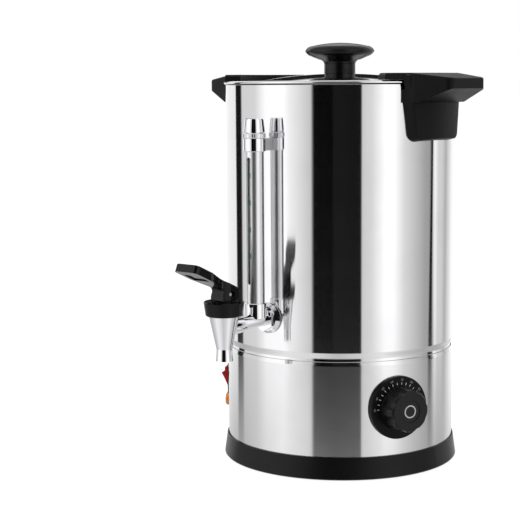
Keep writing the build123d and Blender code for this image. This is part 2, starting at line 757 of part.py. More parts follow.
def make_lamp_housing():
    place = station(switch_azimuth, lamp_z)
    bore = lamp_barrel_radius - lamp_wall
    length = lamp_depth + lamp_flange
    barrel = Pos(0, 0, -lamp_depth) * Cylinder(lamp_barrel_radius, length, align=STANDING)
    barrel -= Pos(0, 0, 2 - lamp_depth) * Cylinder(bore, REACH, align=STANDING)
    flange = Pos(0, 0, -edge_break) * Cylinder(lamp_radius, lamp_flange + edge_break, align=STANDING)
    flange -= Cylinder(bore, wall_cut)
    return place * barrel + (place * flange - bar(casing_radius + face_fit, 0, REACH))


def make_lamp_lens():
    lens = Pos(0, 0, lamp_flange) * Cylinder(lamp_radius, lamp_proud - lamp_flange, align=STANDING)
    lens = fillet(lens.faces().sort_by(Axis.Z)[-1].edges(), 2.2)
    plug_radius = lamp_barrel_radius - lamp_wall - screw_fit
    lens += Pos(0, 0, -2) * Cylinder(plug_radius, lamp_flange + 2.2, align=STANDING)
    return station(switch_azimuth, lamp_z) * lens


def make_lamp_nut():
    ring = Cylinder(8.4, 3, align=STANDING) - Cylinder(lamp_barrel_radius + pin_fit, wall_cut)
    return station(switch_azimuth, lamp_z) * Pos(0, 0, -5) * ring


# ---------------------------------------------------------------- supply
def make_cord_gland():
    place = station(gland_azimuth, gland_z)
    gland = place * turned([
        (gland_bore, -gland_inside), (gland_thread, -gland_inside), (gland_thread, 0), (gland_radius, 0),
        (gland_radius, 7), (gland_radius - 2.0, 8), (gland_bore + 2.4, gland_outside),
        (gland_bore, gland_outside)])
    wall = bar(casing_radius + face_fit, 0, REACH) - place * Cylinder(gland_thread + screw_fit, REACH)
    return gland - wall


def make_gland_nut():
    nut = Pos(0, 0, -7) * extrude(RegularPolygon(gland_thread + 2.6, 6, major_radius=False), 5)
    return station(gland_azimuth, gland_z) * (nut - Cylinder(gland_thread + pin_fit, 2 * gland_outside))


def make_terminal_block():
    floor = shelf_z + plate_thickness
    block = Pos(0, terminal_y, floor) * Box(44, 18, 16, align=STANDING)
    for x in TERMINAL_XS:
        block -= Pos(x, terminal_y, floor + 8) * Rot(90, 0, 0) * Cylinder(2.6, 30)
        block -= bar(screw_radius + 2 * screw_fit, floor + 8, floor + 20, x, terminal_y)
    return block


def make_terminal_screws():
    floor = shelf_z + plate_thickness
    return [bar(screw_radius + screw_fit, floor + 8.5, floor + 15, x, terminal_y) for x in TERMINAL_XS]


# ---------------------------------------------------------------- tap
def make_tap_shank():
    shank = outward_bar(shank_radius, shank_inner_end, tap_reach - shank_seat, tap_z)
    shank -= outward_bar(shank_bore, shank_inner_end, tap_reach, tap_z)
    return shank - bar(gauge_channel, tap_z, gauge_base_low, 0, -gauge_reach)


def make_tap_flange():
    bore = shank_radius + pin_fit
    near = body_radius - 3
    shoulder = body_radius + 2
    far = body_radius + flange_proud
    cone = Rot(90, 0, 0) * turned([
        (bore, near), (flange_radius, near), (flange_radius, shoulder), (flange_radius - 2.5, far),
        (bore, far)])
    return Pos(0, 0, tap_z) * cone - bar(body_radius + seal_thickness - sheet_fit, 0, REACH)


def make_tap_nuts():
    nuts = []
    for near in (body_radius + flange_proud, shank_inner_end + nut_setback):
        nut = Pos(0, -near, tap_z) * Rot(90, 0, 0) * Rot(0, 0, 30) * hexagon(nut_flats, 0, nut_thickness)
        nuts.append(nut - outward_bar(shank_radius + thread_fit, shank_inner_end, tap_reach, tap_z))
    return nuts


def make_tap_seals():
    """Three washers: inside the tank, between the walls and under the flange."""
    bore = outward_bar(shank_radius + pin_fit, shank_inner_end, tap_reach, tap_z)
    nut_face = shank_inner_end + nut_setback + nut_thickness
    inner = outward_bar(seal_radius, nut_face, tank_radius, tap_z)
    inner &= bar(tank_radius - tank_wall - sheet_seat, 0, REACH)
    spacer = outward_bar(seal_radius, tank_radius - ledge_width, body_radius, tap_z)
    spacer &= bar(body_radius - body_wall - sheet_seat, 0, REACH) - bar(tank_radius + sheet_seat, 0, REACH)
    outer = outward_bar(flange_radius - edge_break, tank_radius, body_radius + flange_proud, tap_z)
    flange_seat = body_radius + seal_thickness - sheet_fit - sheet_seat
    outer &= bar(flange_seat, 0, REACH) - bar(body_radius + sheet_seat, 0, REACH)
    return [inner - bore, spacer - bore, outer - bore]


def make_tap_body():
    chamber = neck_radius - chamber_wall
    chamber_z = tap_z + chamber_low
    shoulder = cone_top_z - sheet_seat
    neck_top = cone_top_z + neck_length
    below = spout_z - 1
    body = turned([
        (0, spout_z), (spout_radius, spout_z), (spout_radius - 0.3, spout_z + 2.5),
        (cone_neck_radius, cone_neck_z), (cone_top_radius, shoulder), (neck_radius, shoulder),
        (neck_radius, neck_top), (0, neck_top)], 0, -tap_reach)
    boss = outward_bar(shank_radius + boss_wall, tap_reach - boss_reach, tap_reach, tap_z)
    inside = turned([
        (0, below), (spout_bore, below), (spout_bore, seat_z), (seat_radius, seat_z + seat_rise),
        (chamber, chamber_z), (chamber, neck_top + 1), (0, neck_top + 1)], 0, -tap_reach)
    body = body + boss - inside
    near = tap_reach - boss_reach - 1
    body -= outward_bar(shank_radius + pin_fit, near, tap_reach - shank_seat, tap_z)
    return body - outward_bar(shank_bore, near, tap_reach, tap_z)


def make_tap_bonnet():
    edge = 0.8
    neck = neck_radius + pin_fit
    bore = stem_radius + pin_fit
    inner_top = cone_top_z + neck_length + seal_thickness
    return turned([
        (neck, cone_top_z), (bonnet_low_radius - edge, cone_top_z), (bonnet_low_radius, cone_top_z + edge),
        (bonnet_top_radius, bonnet_top_z - edge), (bonnet_top_radius - edge, bonnet_top_z),
        (bore, bonnet_top_z), (bore, inner_top), (neck, inner_top)], 0, -tap_reach)


def make_bonnet_seal():
    low = cone_top_z + neck_length
    ring = bar(neck_radius, low, low + seal_thickness, 0, -tap_reach)
    return ring - bar(stem_radius + 1.0, 0, REACH, 0, -tap_reach)


def make_seat_cup():
    """Silicone cup whose cone stands a little above the seat at rest."""
    cup_radius = seat_radius - seat_gap
    floor = cup_low + cup_stem_depth
    tip = spout_bore - 0.2
    tip_z = seat_z + 0.17
    return turned([
        (0, cup_low), (tip - 0.3, cup_low), (tip, tip_z),
        (cup_radius, tip_z + (cup_radius - tip) / seat_slope), (cup_radius, cup_top),
        (stem_radius, cup_top), (stem_radius, floor), (0, floor)], 0, -tap_reach)


def make_tap_stem():
    stem = bar(stem_radius, cup_low + cup_stem_depth, pin_z + pin_cover, 0, -tap_reach)
    flat = Pos(0, -tap_reach, pin_z - bush_fit) * Box(stem_flat, 8, 12, align=STANDING)
    for side in (-1, 1):
        stem -= Pos(side * stem_radius, 0, 0) * flat
    return stem - Pos(0, -tap_reach, pin_z) * Rot(0, 90, 0) * Cylinder(pin_radius + thread_fit, 10)


def make_lever_pin():
    return Pos(0, -tap_reach, pin_z) * Rot(0, 90, 0) * Cylinder(pin_radius, heel_width - pin_short)


def make_tap_spring():
    low = cup_top + edge_break
    high = cone_top_z + neck_length - edge_break
    coil = Helix(pitch=(high - low) / spring_turns, height=high - low, radius=spring_radius)
    coil = Pos(0, -tap_reach, low) * coil
    wire = Plane(origin=coil @ 0, z_dir=coil % 0) * Circle(spring_wire_radius)
    return sweep(wire, coil)


def lever_slot_run():
    """How far the pin runs back in the lever's slot over the whole press."""
    turn = radians(lever_press_deg)
    rise = pin_z - pivot_z
    lifted = (rise + pivot_reach * sin(turn)) / cos(turn)
    return pivot_reach * cos(turn) + lifted * sin(turn) - pivot_reach


def make_tap_lever():
    """Lever that rocks on its heel; its points are (distance from the drum axis, z)."""
    pivot = tap_reach + pivot_reach
    heel_front = pivot + heel_round
    heel_z = pivot_z - heel_round
    rear = tap_reach - lever_rear
    rear_z = bonnet_top_z + heel_height
    slope = atan2(lever_rise, lever_length)
    fall = lever_rise / lever_length
    top_tip = Vector(rear + lever_length, rear_z + lever_rise)
    low_tip = top_tip + Vector(sin(slope), -cos(slope)) * paddle_thickness
    arm = heel_front - heel_lean
    arm_low = Vector(arm, low_tip.Y - (low_tip.X - arm) * fall)
    outline = Polygon(
        (rear, rear_z), (rear, heel_z), (heel_front, heel_z), (heel_front, pivot_z + heel_face),
        arm_low, low_tip, top_tip, align=None)
    outline = fillet(outline.vertices().sort_by_distance((heel_front, heel_z))[0], heel_round - 0.01)
    outline = fillet(outline.vertices().sort_by_distance(arm_low)[0], arm_fillet)
    side = Plane(origin=(0, 0, 0), x_dir=(0, -1, 0), z_dir=(-1, 0, 0)) * outline
    lever = extrude(side, lever_width, both=True) & lever_plan(heel_z)
    lever = soft_paddle(lever, top_tip, low_tip)
    lever -= fork_and_slot(heel_z)
    wide, long, deep = finger_pad
    middle = low_tip - Vector(1, fall) * long
    pad = Pos(0, -middle.X, middle.Y) * Rot(-degrees(slope), 0, 0) * Box(wide, long, 2 * deep)
    return lever - pad


def lever_plan(low):
    """The lever seen from above, as an upright block: heel, neck and wide paddle."""
    rear = -tap_reach + lever_rear + 1
    tip = -tap_reach - lever_length - paddle_thickness
    heel_end = -tap_reach
    neck = -tap_reach - neck_reach
    full = -tap_reach - paddle_reach
    left = [
        (-heel_width / 2, rear), (-heel_width / 2, heel_end), (-neck_width / 2, neck),
        (-lever_width / 2, full), (-lever_width / 2, tip)]
    right = [(-x, y) for x, y in reversed(left)]
    plan = Polygon(*left, *right, align=None)
    bends = plan.vertices().filter_by(lambda v: abs(v.Y - neck) < 1 or abs(v.Y - full) < 1)
    plan = fillet(bends, 4 * arm_fillet)
    return Pos(0, 0, low - 1) * extrude(plan, 2 * lever_length)


def soft_paddle(lever, top_tip, low_tip):
    """Round the two corners of the paddle's tip, then the paddle's long edges."""
    middle = (top_tip + low_tip) / 2
    corners = [
        lever.edges().sort_by_distance((side * lever_width / 2, -middle.X, middle.Y))[0]
        for side in (-1, 1)]
    lever = fillet(corners, tip_round)
    top = lever.faces().sort_by_distance((0, -top_tip.X + 8, top_tip.Y - 4))[0]
    return fillet(top.edges().filter_by(lambda e: e.center().Y < -tap_reach + lever_rear - 1), lever_soft)


def fork_and_slot(low):
    """The fork that holds the stem's head, and the slot in which its pin runs."""
    near = tap_reach - stem_radius - fork_behind
    far = tap_reach + stem_radius + fork_before
    fork_width = 2 * (stem_radius + run_gap)
    height = pin_z + fork_ceiling - low + 1
    fork = Pos(0, -(near + far) / 2, low - 1) * Box(fork_width, far - near, height, align=STANDING)
    run = lever_slot_run()
    slot = Pos(-tap_reach + run / 2, pin_z) * SlotCenterToCenter(run, 2 * pin_radius + slot_play)
    return fork + extrude(Plane.YZ * slot, heel_width, both=True)


# ---------------------------------------------------------------- sight gauge
def make_gauge_base():
    seat = gauge_base_top - seal_pocket
    edge = gauge_base_radius - edge_break
    base = turned([
        (0, gauge_base_low), (edge, gauge_base_low), (gauge_base_radius, gauge_base_low + edge_break),
        (gauge_base_radius, gauge_base_top - edge_break), (edge, gauge_base_top),
        (guard_bore, gauge_base_top), (guard_bore, seat), (0, seat)], 0, -gauge_reach)
    base -= outward_bar(shank_radius + face_fit / 2, body_radius, tap_reach, tap_z)
    return base - bar(gauge_channel, tap_z, gauge_base_top, 0, -gauge_reach)


def make_gauge_glass():
    low = gauge_base_top - seal_pocket + edge_break
    high = collar_top - 2.0
    bore = bar(glass_radius - glass_wall, 0, REACH, 0, -gauge_reach)
    return bar(glass_radius, low, high, 0, -gauge_reach) - bore


def make_gauge_seals():
    seals = []
    for low in (gauge_base_top - seal_pocket + screw_fit, guard_top + seal_height):
        ring = bar(guard_bore - sheet_seat, low, low + seal_height, 0, -gauge_reach)
        seals.append(ring - bar(glass_radius + sheet_seat, 0, REACH, 0, -gauge_reach))
    return seals


def make_gauge_guard():
    guard = bar(guard_radius, gauge_base_top, guard_top, 0, -gauge_reach)
    guard -= bar(guard_bore, 0, REACH, 0, -gauge_reach)
    low = gauge_base_top + slot_start
    high = guard_top - slot_end
    slot = Plane.XZ * Pos(0, (low + high) / 2) * Rot(0, 0, 90) * SlotOverall(high - low, slot_width)
    return guard - Pos(0, -gauge_reach, 0) * extrude(slot, 2 * guard_radius)


def make_gauge_collar():
    edge = gauge_base_radius - edge_break
    collar = turned([
        (0, guard_top), (edge, guard_top), (gauge_base_radius, guard_top + edge_break),
        (gauge_base_radius, collar_top - edge_break), (edge, collar_top), (0, collar_top)],
        0, -gauge_reach)
    near = body_radius - 4
    arm = Polygon(
        (-arm_width / 2, -near), (-arm_front_width / 2, -gauge_reach), (arm_front_width / 2, -gauge_reach),
        (arm_width / 2, -near), align=None)
    arm = Pos(0, 0, guard_top + edge_break) * extrude(arm, collar_height - 2 * edge_break)
    collar += arm - bar(body_radius + face_fit, 0, REACH)
    collar -= bar(guard_bore, 0, REACH, 0, -gauge_reach)
    return collar - outward_bar(tapped_radius, body_radius - 4, collar_hole_end, collar_mid)


def make_gauge_screw():
    inner = body_radius - body_wall
    head = outward_bar(screw_head_radius, inner - screw_head_height, inner - sheet_fit, collar_mid)
    return head + outward_bar(thread_radius, inner - 0.5, collar_hole_end - 0.5, collar_mid)


def make_gauge_ring():
    """Knurled ring nut between the collar and the cap."""
    bore = guard_bore + bush_fit
    edge = gauge_ring_radius - edge_break
    ring = turned([
        (bore, collar_top), (edge, collar_top), (gauge_ring_radius, collar_top + edge_break),
        (gauge_ring_radius, gauge_ring_top - edge_break), (edge, gauge_ring_top), (bore, gauge_ring_top)])
    places = PolarLocations(gauge_ring_radius + knurl_radius / 4, knurl_count)
    grooves = Sketch() + [place * Circle(knurl_radius) for place in places]
    ring -= Pos(0, 0, collar_top - 1) * extrude(grooves, gauge_ring_height + 2)
    return Pos(0, -gauge_reach, 0) * ring


def make_gauge_cap():
    low = gauge_ring_top + run_gap
    plug = guard_bore - run_gap
    plug_low = collar_top - 1.0
    return turned([
        (0, plug_low), (plug, plug_low), (plug, low), (gauge_cap_low_radius - edge_break, low),
        (gauge_cap_low_radius, low + edge_break), (gauge_cap_top_radius, gauge_cap_top - 2 * edge_break),
        (gauge_cap_top_radius - edge_break / 2, gauge_cap_top - edge_break / 2),
        (gauge_cap_top_radius - 2 * edge_break, gauge_cap_top), (0, gauge_cap_top)], 0, -gauge_reach)


# ---------------------------------------------------------------- handles
def make_handle():
    """The handle on +X, before it is turned to its place."""
    handle = make_pad() + make_grip() + make_hook()
    rim_low = rim_z - bead_notch
    bead_top = rim_z + rim_bead + run_gap
    handle -= bar(body_radius + sheet_fit, 0, rim_z) + bar(hook_radius, rim_low, bead_top)
    for z in handle_screw_zs:
        hole = Cylinder(tapped_radius, pad_radius - edge_break - 1, align=STANDING)
        handle -= Pos(0, 0, z) * Rot(0, 90, 0) * hole
    return handle


def make_pad():
    """Pad against the drum wall; its sides draw in outward."""
    near = (body_radius ** 2 - pad_half_top ** 2) ** 0.5
    low = pad_low - (body_radius - near) * tan(radians(pad_draft_deg))
    outline = Polygon(
        (-pad_half_low, low), (pad_half_low, low), (pad_half_top, handle_top_z),
        (-pad_half_top, handle_top_z), align=None)
    outline = fillet(outline.vertices().sort_by(Axis.Y)[:2], pad_corner)
    pad = extrude(Plane.YZ.offset(near) * outline, 2 * (pad_radius - near), taper=pad_draft_deg)
    pad &= bar(pad_radius, 0, REACH)
    front = pad.faces().filter_by(GeomType.CYLINDER).sort_by(SortBy.AREA)[-1]
    return fillet(front.edges(), pad_soft) - bar(body_radius, 0, REACH)


def make_grip():
    """Grip with a sloping top, drawn from the side and trimmed to its outline from above."""
    back = body_radius + 1.0
    tip_low = rim_z + grip_low
    side = Polygon(
        (back, handle_top_z), (back, underside_z), (pad_radius - edge_break, underside_z),
        (grip_reach - edge_break, tip_low), (grip_reach, rim_z + grip_top), align=None)
    grip = extrude(Plane.XZ * side, pad_half_top, both=True)
    shoulder = body_radius + grip_shoulder
    plan = Polygon(
        (back, -grip_half_wall), (shoulder, -grip_half_wall), (grip_reach, -grip_half),
        (grip_reach, grip_half), (shoulder, grip_half_wall), (back, grip_half_wall), align=None)
    plan = fillet(plan.vertices().filter_by(lambda v: abs(v.X - shoulder) < 1), grip_shoulder_round)
    plan = fillet(plan.vertices().sort_by(Axis.X)[-2:], grip_corner_round)
    grip &= Pos(0, 0, underside_z) * extrude(plan, handle_top_z - underside_z)
    top = grip.faces().sort_by(Axis.Z)[-1]
    grip = fillet(top.edges().filter_by(lambda e: e.center().X > back + 1), grip_soft)
    return grip


def make_hook():
    """Sector that reaches over the rim bead and holds the lid's notch."""
    low = rim_z + rim_bead + run_gap
    hook = ring_sector(hook_inner, hook_radius, low, handle_top_z, hook_half_deg)
    ends = hook.edges().filter_by(lambda e: e.center().Z > handle_top_z - 0.1)
    ends = ends.filter_by(lambda e: e.length < 1.1 * (hook_radius - hook_inner))
    return chamfer(ends, hook_soft)


def make_handle_screws():
    inner = body_radius - body_wall
    length = pad_radius - 2 - inner
    screws = []
    for side in (0, 180):
        for z in handle_screw_zs:
            place = Rot(0, 0, side + handle_azimuth) * Pos(inner, 0, z) * Rot(0, 90, 0)
            head_height = screw_head_height - sheet_fit
            head = Pos(0, 0, -screw_head_height) * Cylinder(screw_head_radius, head_height, align=STANDING)
            shank = Pos(0, 0, -0.5) * Cylinder(thread_radius, length, align=STANDING)
            screws.append(place * (head + shank))
    return screws


# ---------------------------------------------------------------- lid
def dome_z(radius):
    """Height of the lid's outer surface at a radius."""
    return lid_apex_z - (lid_dome_radius - (lid_dome_radius ** 2 - radius ** 2) ** 0.5)


def make_lid():
    """Pressed lid: a dome with a flat flange that is notched round the handles' hooks."""
    seat = ledge_z + lid_seat_gap
    half = lid_dome_edge / 2
    edge_z = dome_z(lid_dome_edge)
    top = seat + lid_wall
    outer_foot = lid_dome_edge + edge_break
    inner_foot = lid_dome_edge - edge_break / 2
    inner_edge = lid_dome_edge - 1.5 * edge_break
    hole = (lid_screw_bore, dome_z(lid_screw_bore))
    hole_low = (lid_screw_bore, dome_z(lid_screw_bore) - lid_wall)
    section = make_face(Curve() + [
        ThreePointArc(hole, (half, dome_z(half)), (lid_dome_edge, edge_z)),
        Line((lid_dome_edge, edge_z), (outer_foot, top)),
        Line((outer_foot, top), (lid_flange, top)),
        Line((lid_flange, top), (lid_flange, seat)),
        Line((lid_flange, seat), (inner_foot, seat)),
        Line((inner_foot, seat), (inner_edge, edge_z - lid_wall)),
        ThreePointArc((inner_edge, edge_z - lid_wall), (half, dome_z(half) - lid_wall), hole_low),
        Line(hole_low, hole),
    ])
    lid = revolve(Plane.XZ * section, Axis.Z)
    notch = ring_sector(lid_notch, 2 * lid_notch, seat - 1, handle_top_z, lid_notch_deg)
    for side in (0, 180):
        lid -= Rot(0, 0, side + handle_azimuth) * notch
    return lid


def make_lid_knob():
    """Mushroom knob, hollow under its neck, with a boss for the lid's screw."""
    hollow = lid_neck_radius - 3
    foot = dome_z(hollow) + sheet_seat
    roof = foot + 3
    neck_top = lid_knob_top - lid_knob_under - lid_knob_cove
    cove_end = lid_neck_radius + lid_knob_cove
    under = lid_knob_top - lid_knob_under
    cove_bend = lid_knob_cove * (1 - cos(radians(45)))
    cove_middle = (lid_neck_radius + cove_bend, under - cove_bend)

    def rim(inset, depth):
        return lid_knob_radius - inset, lid_knob_top - depth

    section = make_face(Curve() + [
        Line((0, roof), (hollow, roof)),
        Line((hollow, roof), (hollow, foot)),
        Line((hollow, foot), (lid_neck_radius, foot)),
        Line((lid_neck_radius, foot), (lid_neck_radius, neck_top)),
        ThreePointArc((lid_neck_radius, neck_top), cove_middle, (cove_end, under)),
        Line((cove_end, under), rim(4.4, 12.2)),
        ThreePointArc(rim(4.4, 12.2), rim(1.7, 10.4), rim(0, lid_knob_edge)),
        ThreePointArc(rim(0, lid_knob_edge), rim(1.6, 5.4), rim(6.7, 3.0)),
        ThreePointArc(rim(6.7, 3.0), rim(19.7, 0.78), (edge_break, lid_knob_top)),
        Line((edge_break, lid_knob_top), (0, lid_knob_top)),
        Line((0, lid_knob_top), (0, roof)),
    ])
    knob = revolve(Plane.XZ * section, Axis.Z)
    knob += bar(lid_boss_radius, lid_apex_z + sheet_seat, roof + 1)
    return knob - bar(screw_radius, lid_apex_z - 1, lid_apex_z + lid_screw_reach + 1)


def make_lid_screw():
    low = lid_apex_z - lid_wall - lid_washer_thickness
    head = low - screw_head_height
    tip = lid_apex_z + lid_screw_reach
    return turned([
        (0, head), (screw_head_radius - 1.2, head), (screw_head_radius, head + 1.2),
        (screw_head_radius, low), (thread_radius, low), (thread_radius, tip), (0, tip)])


def make_lid_washer():
    low = lid_apex_z - lid_wall - lid_washer_thickness
    high = low + lid_washer_thickness - pin_fit
    return bar(lid_washer_radius, low, high) - bar(screw_radius + screw_fit, 0, REACH)


def build():
    """Every named piece of the urn; a list holds pieces that share a node."""
    right = Rot(0, 0, handle_azimuth) * make_handle()
    return {
        "body_shell": make_body_shell(),
        "inner_tank": make_inner_tank(),
        "lower_casing": make_lower_casing(),
        "base_ring": make_base_ring(),
        "rubber_feet": make_feet(),
        "bottom_plate": make_bottom_plate(),
        "base_screws": make_base_screws(),
        "tie_studs": make_tie_studs(),
        "tie_nuts": make_tie_nuts(),
        "heat_spreader": make_heat_spreader(),
        "heating_element": make_heating_element(),
        "element_tabs": make_element_tabs(),
        "cutout_body": make_cutout_body(),
        "cutout_nut": make_cutout_nut(),
        "reset_button": make_reset_button(),
        "dial_plate": make_dial_plate(),
        "dial_screws": make_dial_screws(),
        "thermostat_body": make_thermostat_body(),
        "dial_shaft": make_dial_shaft(),
        "dial_knob": make_dial_knob(),
        "knob_cap": make_knob_cap(),
        "switch_body": make_switch_body(),
        "rocker": make_rocker(),
        "lamp_housing": make_lamp_housing(),
        "lamp_lens": make_lamp_lens(),
        "lamp_nut": make_lamp_nut(),
        "cord_gland": make_cord_gland(),
        "gland_nut": make_gland_nut(),
        "terminal_block": make_terminal_block(),
        "terminal_screws": make_terminal_screws(),
        "tap_shank": make_tap_shank(),
        "tap_flange": make_tap_flange(),
        "tap_nuts": make_tap_nuts(),
        "tap_seals": make_tap_seals(),
        "tap_body": make_tap_body(),
        "tap_bonnet": make_tap_bonnet(),
        "bonnet_seal": make_bonnet_seal(),
        "seat_cup": make_seat_cup(),
        "tap_stem": make_tap_stem(),
        "lever_pin": make_lever_pin(),
        "tap_spring": make_tap_spring(),
        "tap_lever": make_tap_lever(),
        "gauge_base": make_gauge_base(),
        "gauge_glass": make_gauge_glass(),
        "gauge_seals": make_gauge_seals(),
        "gauge_guard": make_gauge_guard(),
        "gauge_collar": make_gauge_collar(),
        "gauge_screw": make_gauge_screw(),
        "gauge_ring": make_gauge_ring(),
        "gauge_cap": make_gauge_cap(),
        "handle_right": right,
        "handle_left": Rot(0, 0, 180) * right,
        "handle_screws": make_handle_screws(),
        "lid": make_lid(),
        "lid_knob": make_lid_knob(),
        "lid_screw": make_lid_screw(),
        "lid_washer": make_lid_washer(),
    }


def main():
    """Write one STEP file for each node."""
    os.makedirs("parts", exist_ok=True)
    for name, shape in build().items():
        if isinstance(shape, list):
            shape = Compound(children=shape)
        export_step(shape, f"parts/{name}.step")


if __name__ == "__main__":
    main()
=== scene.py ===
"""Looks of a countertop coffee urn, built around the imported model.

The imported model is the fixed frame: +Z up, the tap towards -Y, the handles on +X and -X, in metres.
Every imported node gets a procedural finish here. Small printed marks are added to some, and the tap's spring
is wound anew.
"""

import logging
import math
from dataclasses import dataclass
from enum import Enum

import bpy
from mathutils import Matrix, Vector


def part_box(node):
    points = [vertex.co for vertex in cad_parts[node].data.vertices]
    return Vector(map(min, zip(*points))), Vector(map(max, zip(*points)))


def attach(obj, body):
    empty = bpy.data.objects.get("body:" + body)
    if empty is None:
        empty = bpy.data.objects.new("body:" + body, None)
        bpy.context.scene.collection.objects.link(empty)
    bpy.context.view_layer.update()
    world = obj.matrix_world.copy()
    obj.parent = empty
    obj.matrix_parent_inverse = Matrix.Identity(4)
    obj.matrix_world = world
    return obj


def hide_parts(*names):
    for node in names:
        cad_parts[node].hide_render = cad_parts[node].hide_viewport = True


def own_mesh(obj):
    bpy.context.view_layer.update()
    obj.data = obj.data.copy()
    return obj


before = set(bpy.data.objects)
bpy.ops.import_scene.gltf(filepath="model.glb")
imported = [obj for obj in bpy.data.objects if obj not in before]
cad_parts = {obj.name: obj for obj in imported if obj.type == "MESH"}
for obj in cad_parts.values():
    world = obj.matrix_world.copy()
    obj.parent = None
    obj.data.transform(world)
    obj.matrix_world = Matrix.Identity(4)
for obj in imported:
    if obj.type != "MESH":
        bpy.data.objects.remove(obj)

LOG = logging.getLogger("urn")
MM = 0.001
WELD = 0.004 * MM                             # points nearer than this become one
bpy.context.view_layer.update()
UP = Vector((0.0, 0.0, 1.0))
Colour = tuple[float, float, float]
Source = bpy.types.NodeSocket | float | Colour
MIX_FIRST, MIX_SECOND, MIX_RESULT = 6, 7, 2   # where a mix node has its sockets for colours
GRAIN_NOISE = {"Detail": 3.0, "Roughness": 0.65}
SMUDGE_NOISE = {"Detail": 4.0, "Roughness": 0.55, "Distortion": 0.6}
SMUDGE_RANGE = (0.48, 0.78, 0.0, 1.0)         # from the noise to the mask of the smudges
WAVE_NOISE = {"Scale": 34.0, "Detail": 3.0}
WAVE_TONES = (0.3, 0.7, 0.88, 1.12)           # from the noise to the tone
WAVE_HEIGHT = 0.5                             # height of the waves beside that of the pits


# ---------------------------------------------------------------- places on the drum
@dataclass(frozen=True)
class Station:
    """A place on the drum wall, where a control stands out from it.

    Attributes:
        azimuth: direction of the control from +X, in degrees.
        height: height of the control's axis, in metres.
        radius: distance of the place from the drum's axis, in metres.
    """

    azimuth: float
    height: float
    radius: float

    def matrix(self) -> Matrix:
        """Give the place as a matrix: x runs round the drum, y is up and z points outward."""
        turn = math.radians(self.azimuth)
        outward = Vector((math.cos(turn), math.sin(turn), 0.0))
        basis = Matrix((UP.cross(outward), UP, outward)).transposed().to_4x4()
        return Matrix.Translation(outward * self.radius + UP * self.height) @ basis


# ---------------------------------------------------------------- node groups
class Socket(Enum):
    """Kinds of socket that the shared node groups use."""

    VALUE = "NodeSocketFloat"
    VECTOR = "NodeSocketVector"


def new_group(name: str, inputs: dict[str, Socket], outputs: dict[str, Socket]) -> bpy.types.NodeTree:
    """Make an empty shader node group with named sockets.

    Args:
        name: name of the group.
        inputs: kind of each input socket.
        outputs: kind of each output socket.

    Returns:
        The group, with its input and output nodes in it.
    """
    group = bpy.data.node_groups.new(name, "ShaderNodeTree")
    for label, kind in inputs.items():
        group.interface.new_socket(label, in_out="INPUT", socket_type=kind.value)
    for label, kind in outputs.items():
        group.interface.new_socket(label, in_out="OUTPUT", socket_type=kind.value)
    group.nodes.new("NodeGroupInput").name = "in"
    group.nodes.new("NodeGroupOutput").name = "out"
    return group


def feed(tree: bpy.types.NodeTree, node: bpy.types.Node, values: dict[str | int, Source]) -> bpy.types.Node:
    """Fill inputs of a node: a socket is linked to its input, a number or a colour is set on it.

    Args:
        tree: the node's tree.
        node: the node.
        values: what each input gets, by the input's name or index.

    Returns:
        The node.
    """
    for key, value in values.items():
        if isinstance(value, bpy.types.NodeSocket):
            tree.links.new(value, node.inputs[key])
        else:
            node.inputs[key].default_value = (*value, 1.0) if isinstance(value, tuple) else value
    return node


def add_math(tree: bpy.types.NodeTree, operation: str, *values: Source) -> bpy.types.NodeSocket:
    """Add a math node.

    Args:
        tree: node tree that gets the node.
        operation: name of the operation.
        *values: socket or number for each input.

    Returns:
        The node's output socket.
    """
    node = tree.nodes.new("ShaderNodeMath")
    node.operation = operation
    return feed(tree, node, dict(enumerate(values))).outputs[0]


def add_range(tree: bpy.types.NodeTree, value: Source, limits: tuple[float, ...]) -> bpy.types.NodeSocket:
    """Add a map range node.

    Args:
        tree: node tree that gets the node.
        value: socket to map.
        limits: lowest and highest input, then lowest and highest output.

    Returns:
        The node's output socket.
    """
    node = tree.nodes.new("ShaderNodeMapRange")
    labels = ("Value", "From Min", "From Max", "To Min", "To Max")
    return feed(tree, node, dict(zip(labels, (value, *limits)))).outputs["Result"]


def add_mix(
    tree: bpy.types.NodeTree, share: Source, first: Source, second: Source, blend: str = "MIX"
) -> bpy.types.NodeSocket:
    """Add a mix node for colours.

    Args:
        tree: node tree that gets the node.
        share: how much of the second colour shows.
        first: socket or colour for the first input.
        second: socket or colour for the second input.
        blend: name of the way they are mixed.

    Returns:
        The node's output socket.
    """
    node = tree.nodes.new("ShaderNodeMix")
    node.data_type = "RGBA"
    node.blend_type = blend
    return feed(tree, node, {"Factor": share, MIX_FIRST: first, MIX_SECOND: second}).outputs[MIX_RESULT]


def add_noise(tree: bpy.types.NodeTree, vector: bpy.types.NodeSocket, **values: Source) -> bpy.types.NodeSocket:
    """Add a noise node.

    Args:
        tree: node tree that gets the node.
        vector: socket for the pattern's coordinates.
        **values: socket or number for the node's other inputs.

    Returns:
        The node's output socket.
    """
    return feed(tree, tree.nodes.new("ShaderNodeTexNoise"), {"Vector": vector, **values}).outputs["Fac"]


def mix_shaders(
    tree: bpy.types.NodeTree, share: Source, first: bpy.types.NodeSocket, second: bpy.types.NodeSocket
) -> bpy.types.NodeSocket:
    """Add a node that mixes two shaders.

    Args:
        tree: node tree that gets the node.
        share: how much of the second shader shows.
        first: the first shader's socket.
        second: the second shader's socket.

    Returns:
        The node's output socket.
    """
    return feed(tree, tree.nodes.new("ShaderNodeMixShader"), {0: share, 1: first, 2: second}).outputs[0]


def grey(level: float) -> Colour:
    """Give the grey of a level."""
    return level, level, level


def shade(colour: Colour, share: float) -> Colour:
    """Give a colour darkened to a share of itself."""
    red, green, blue = colour
    return share * red, share * green, share * blue


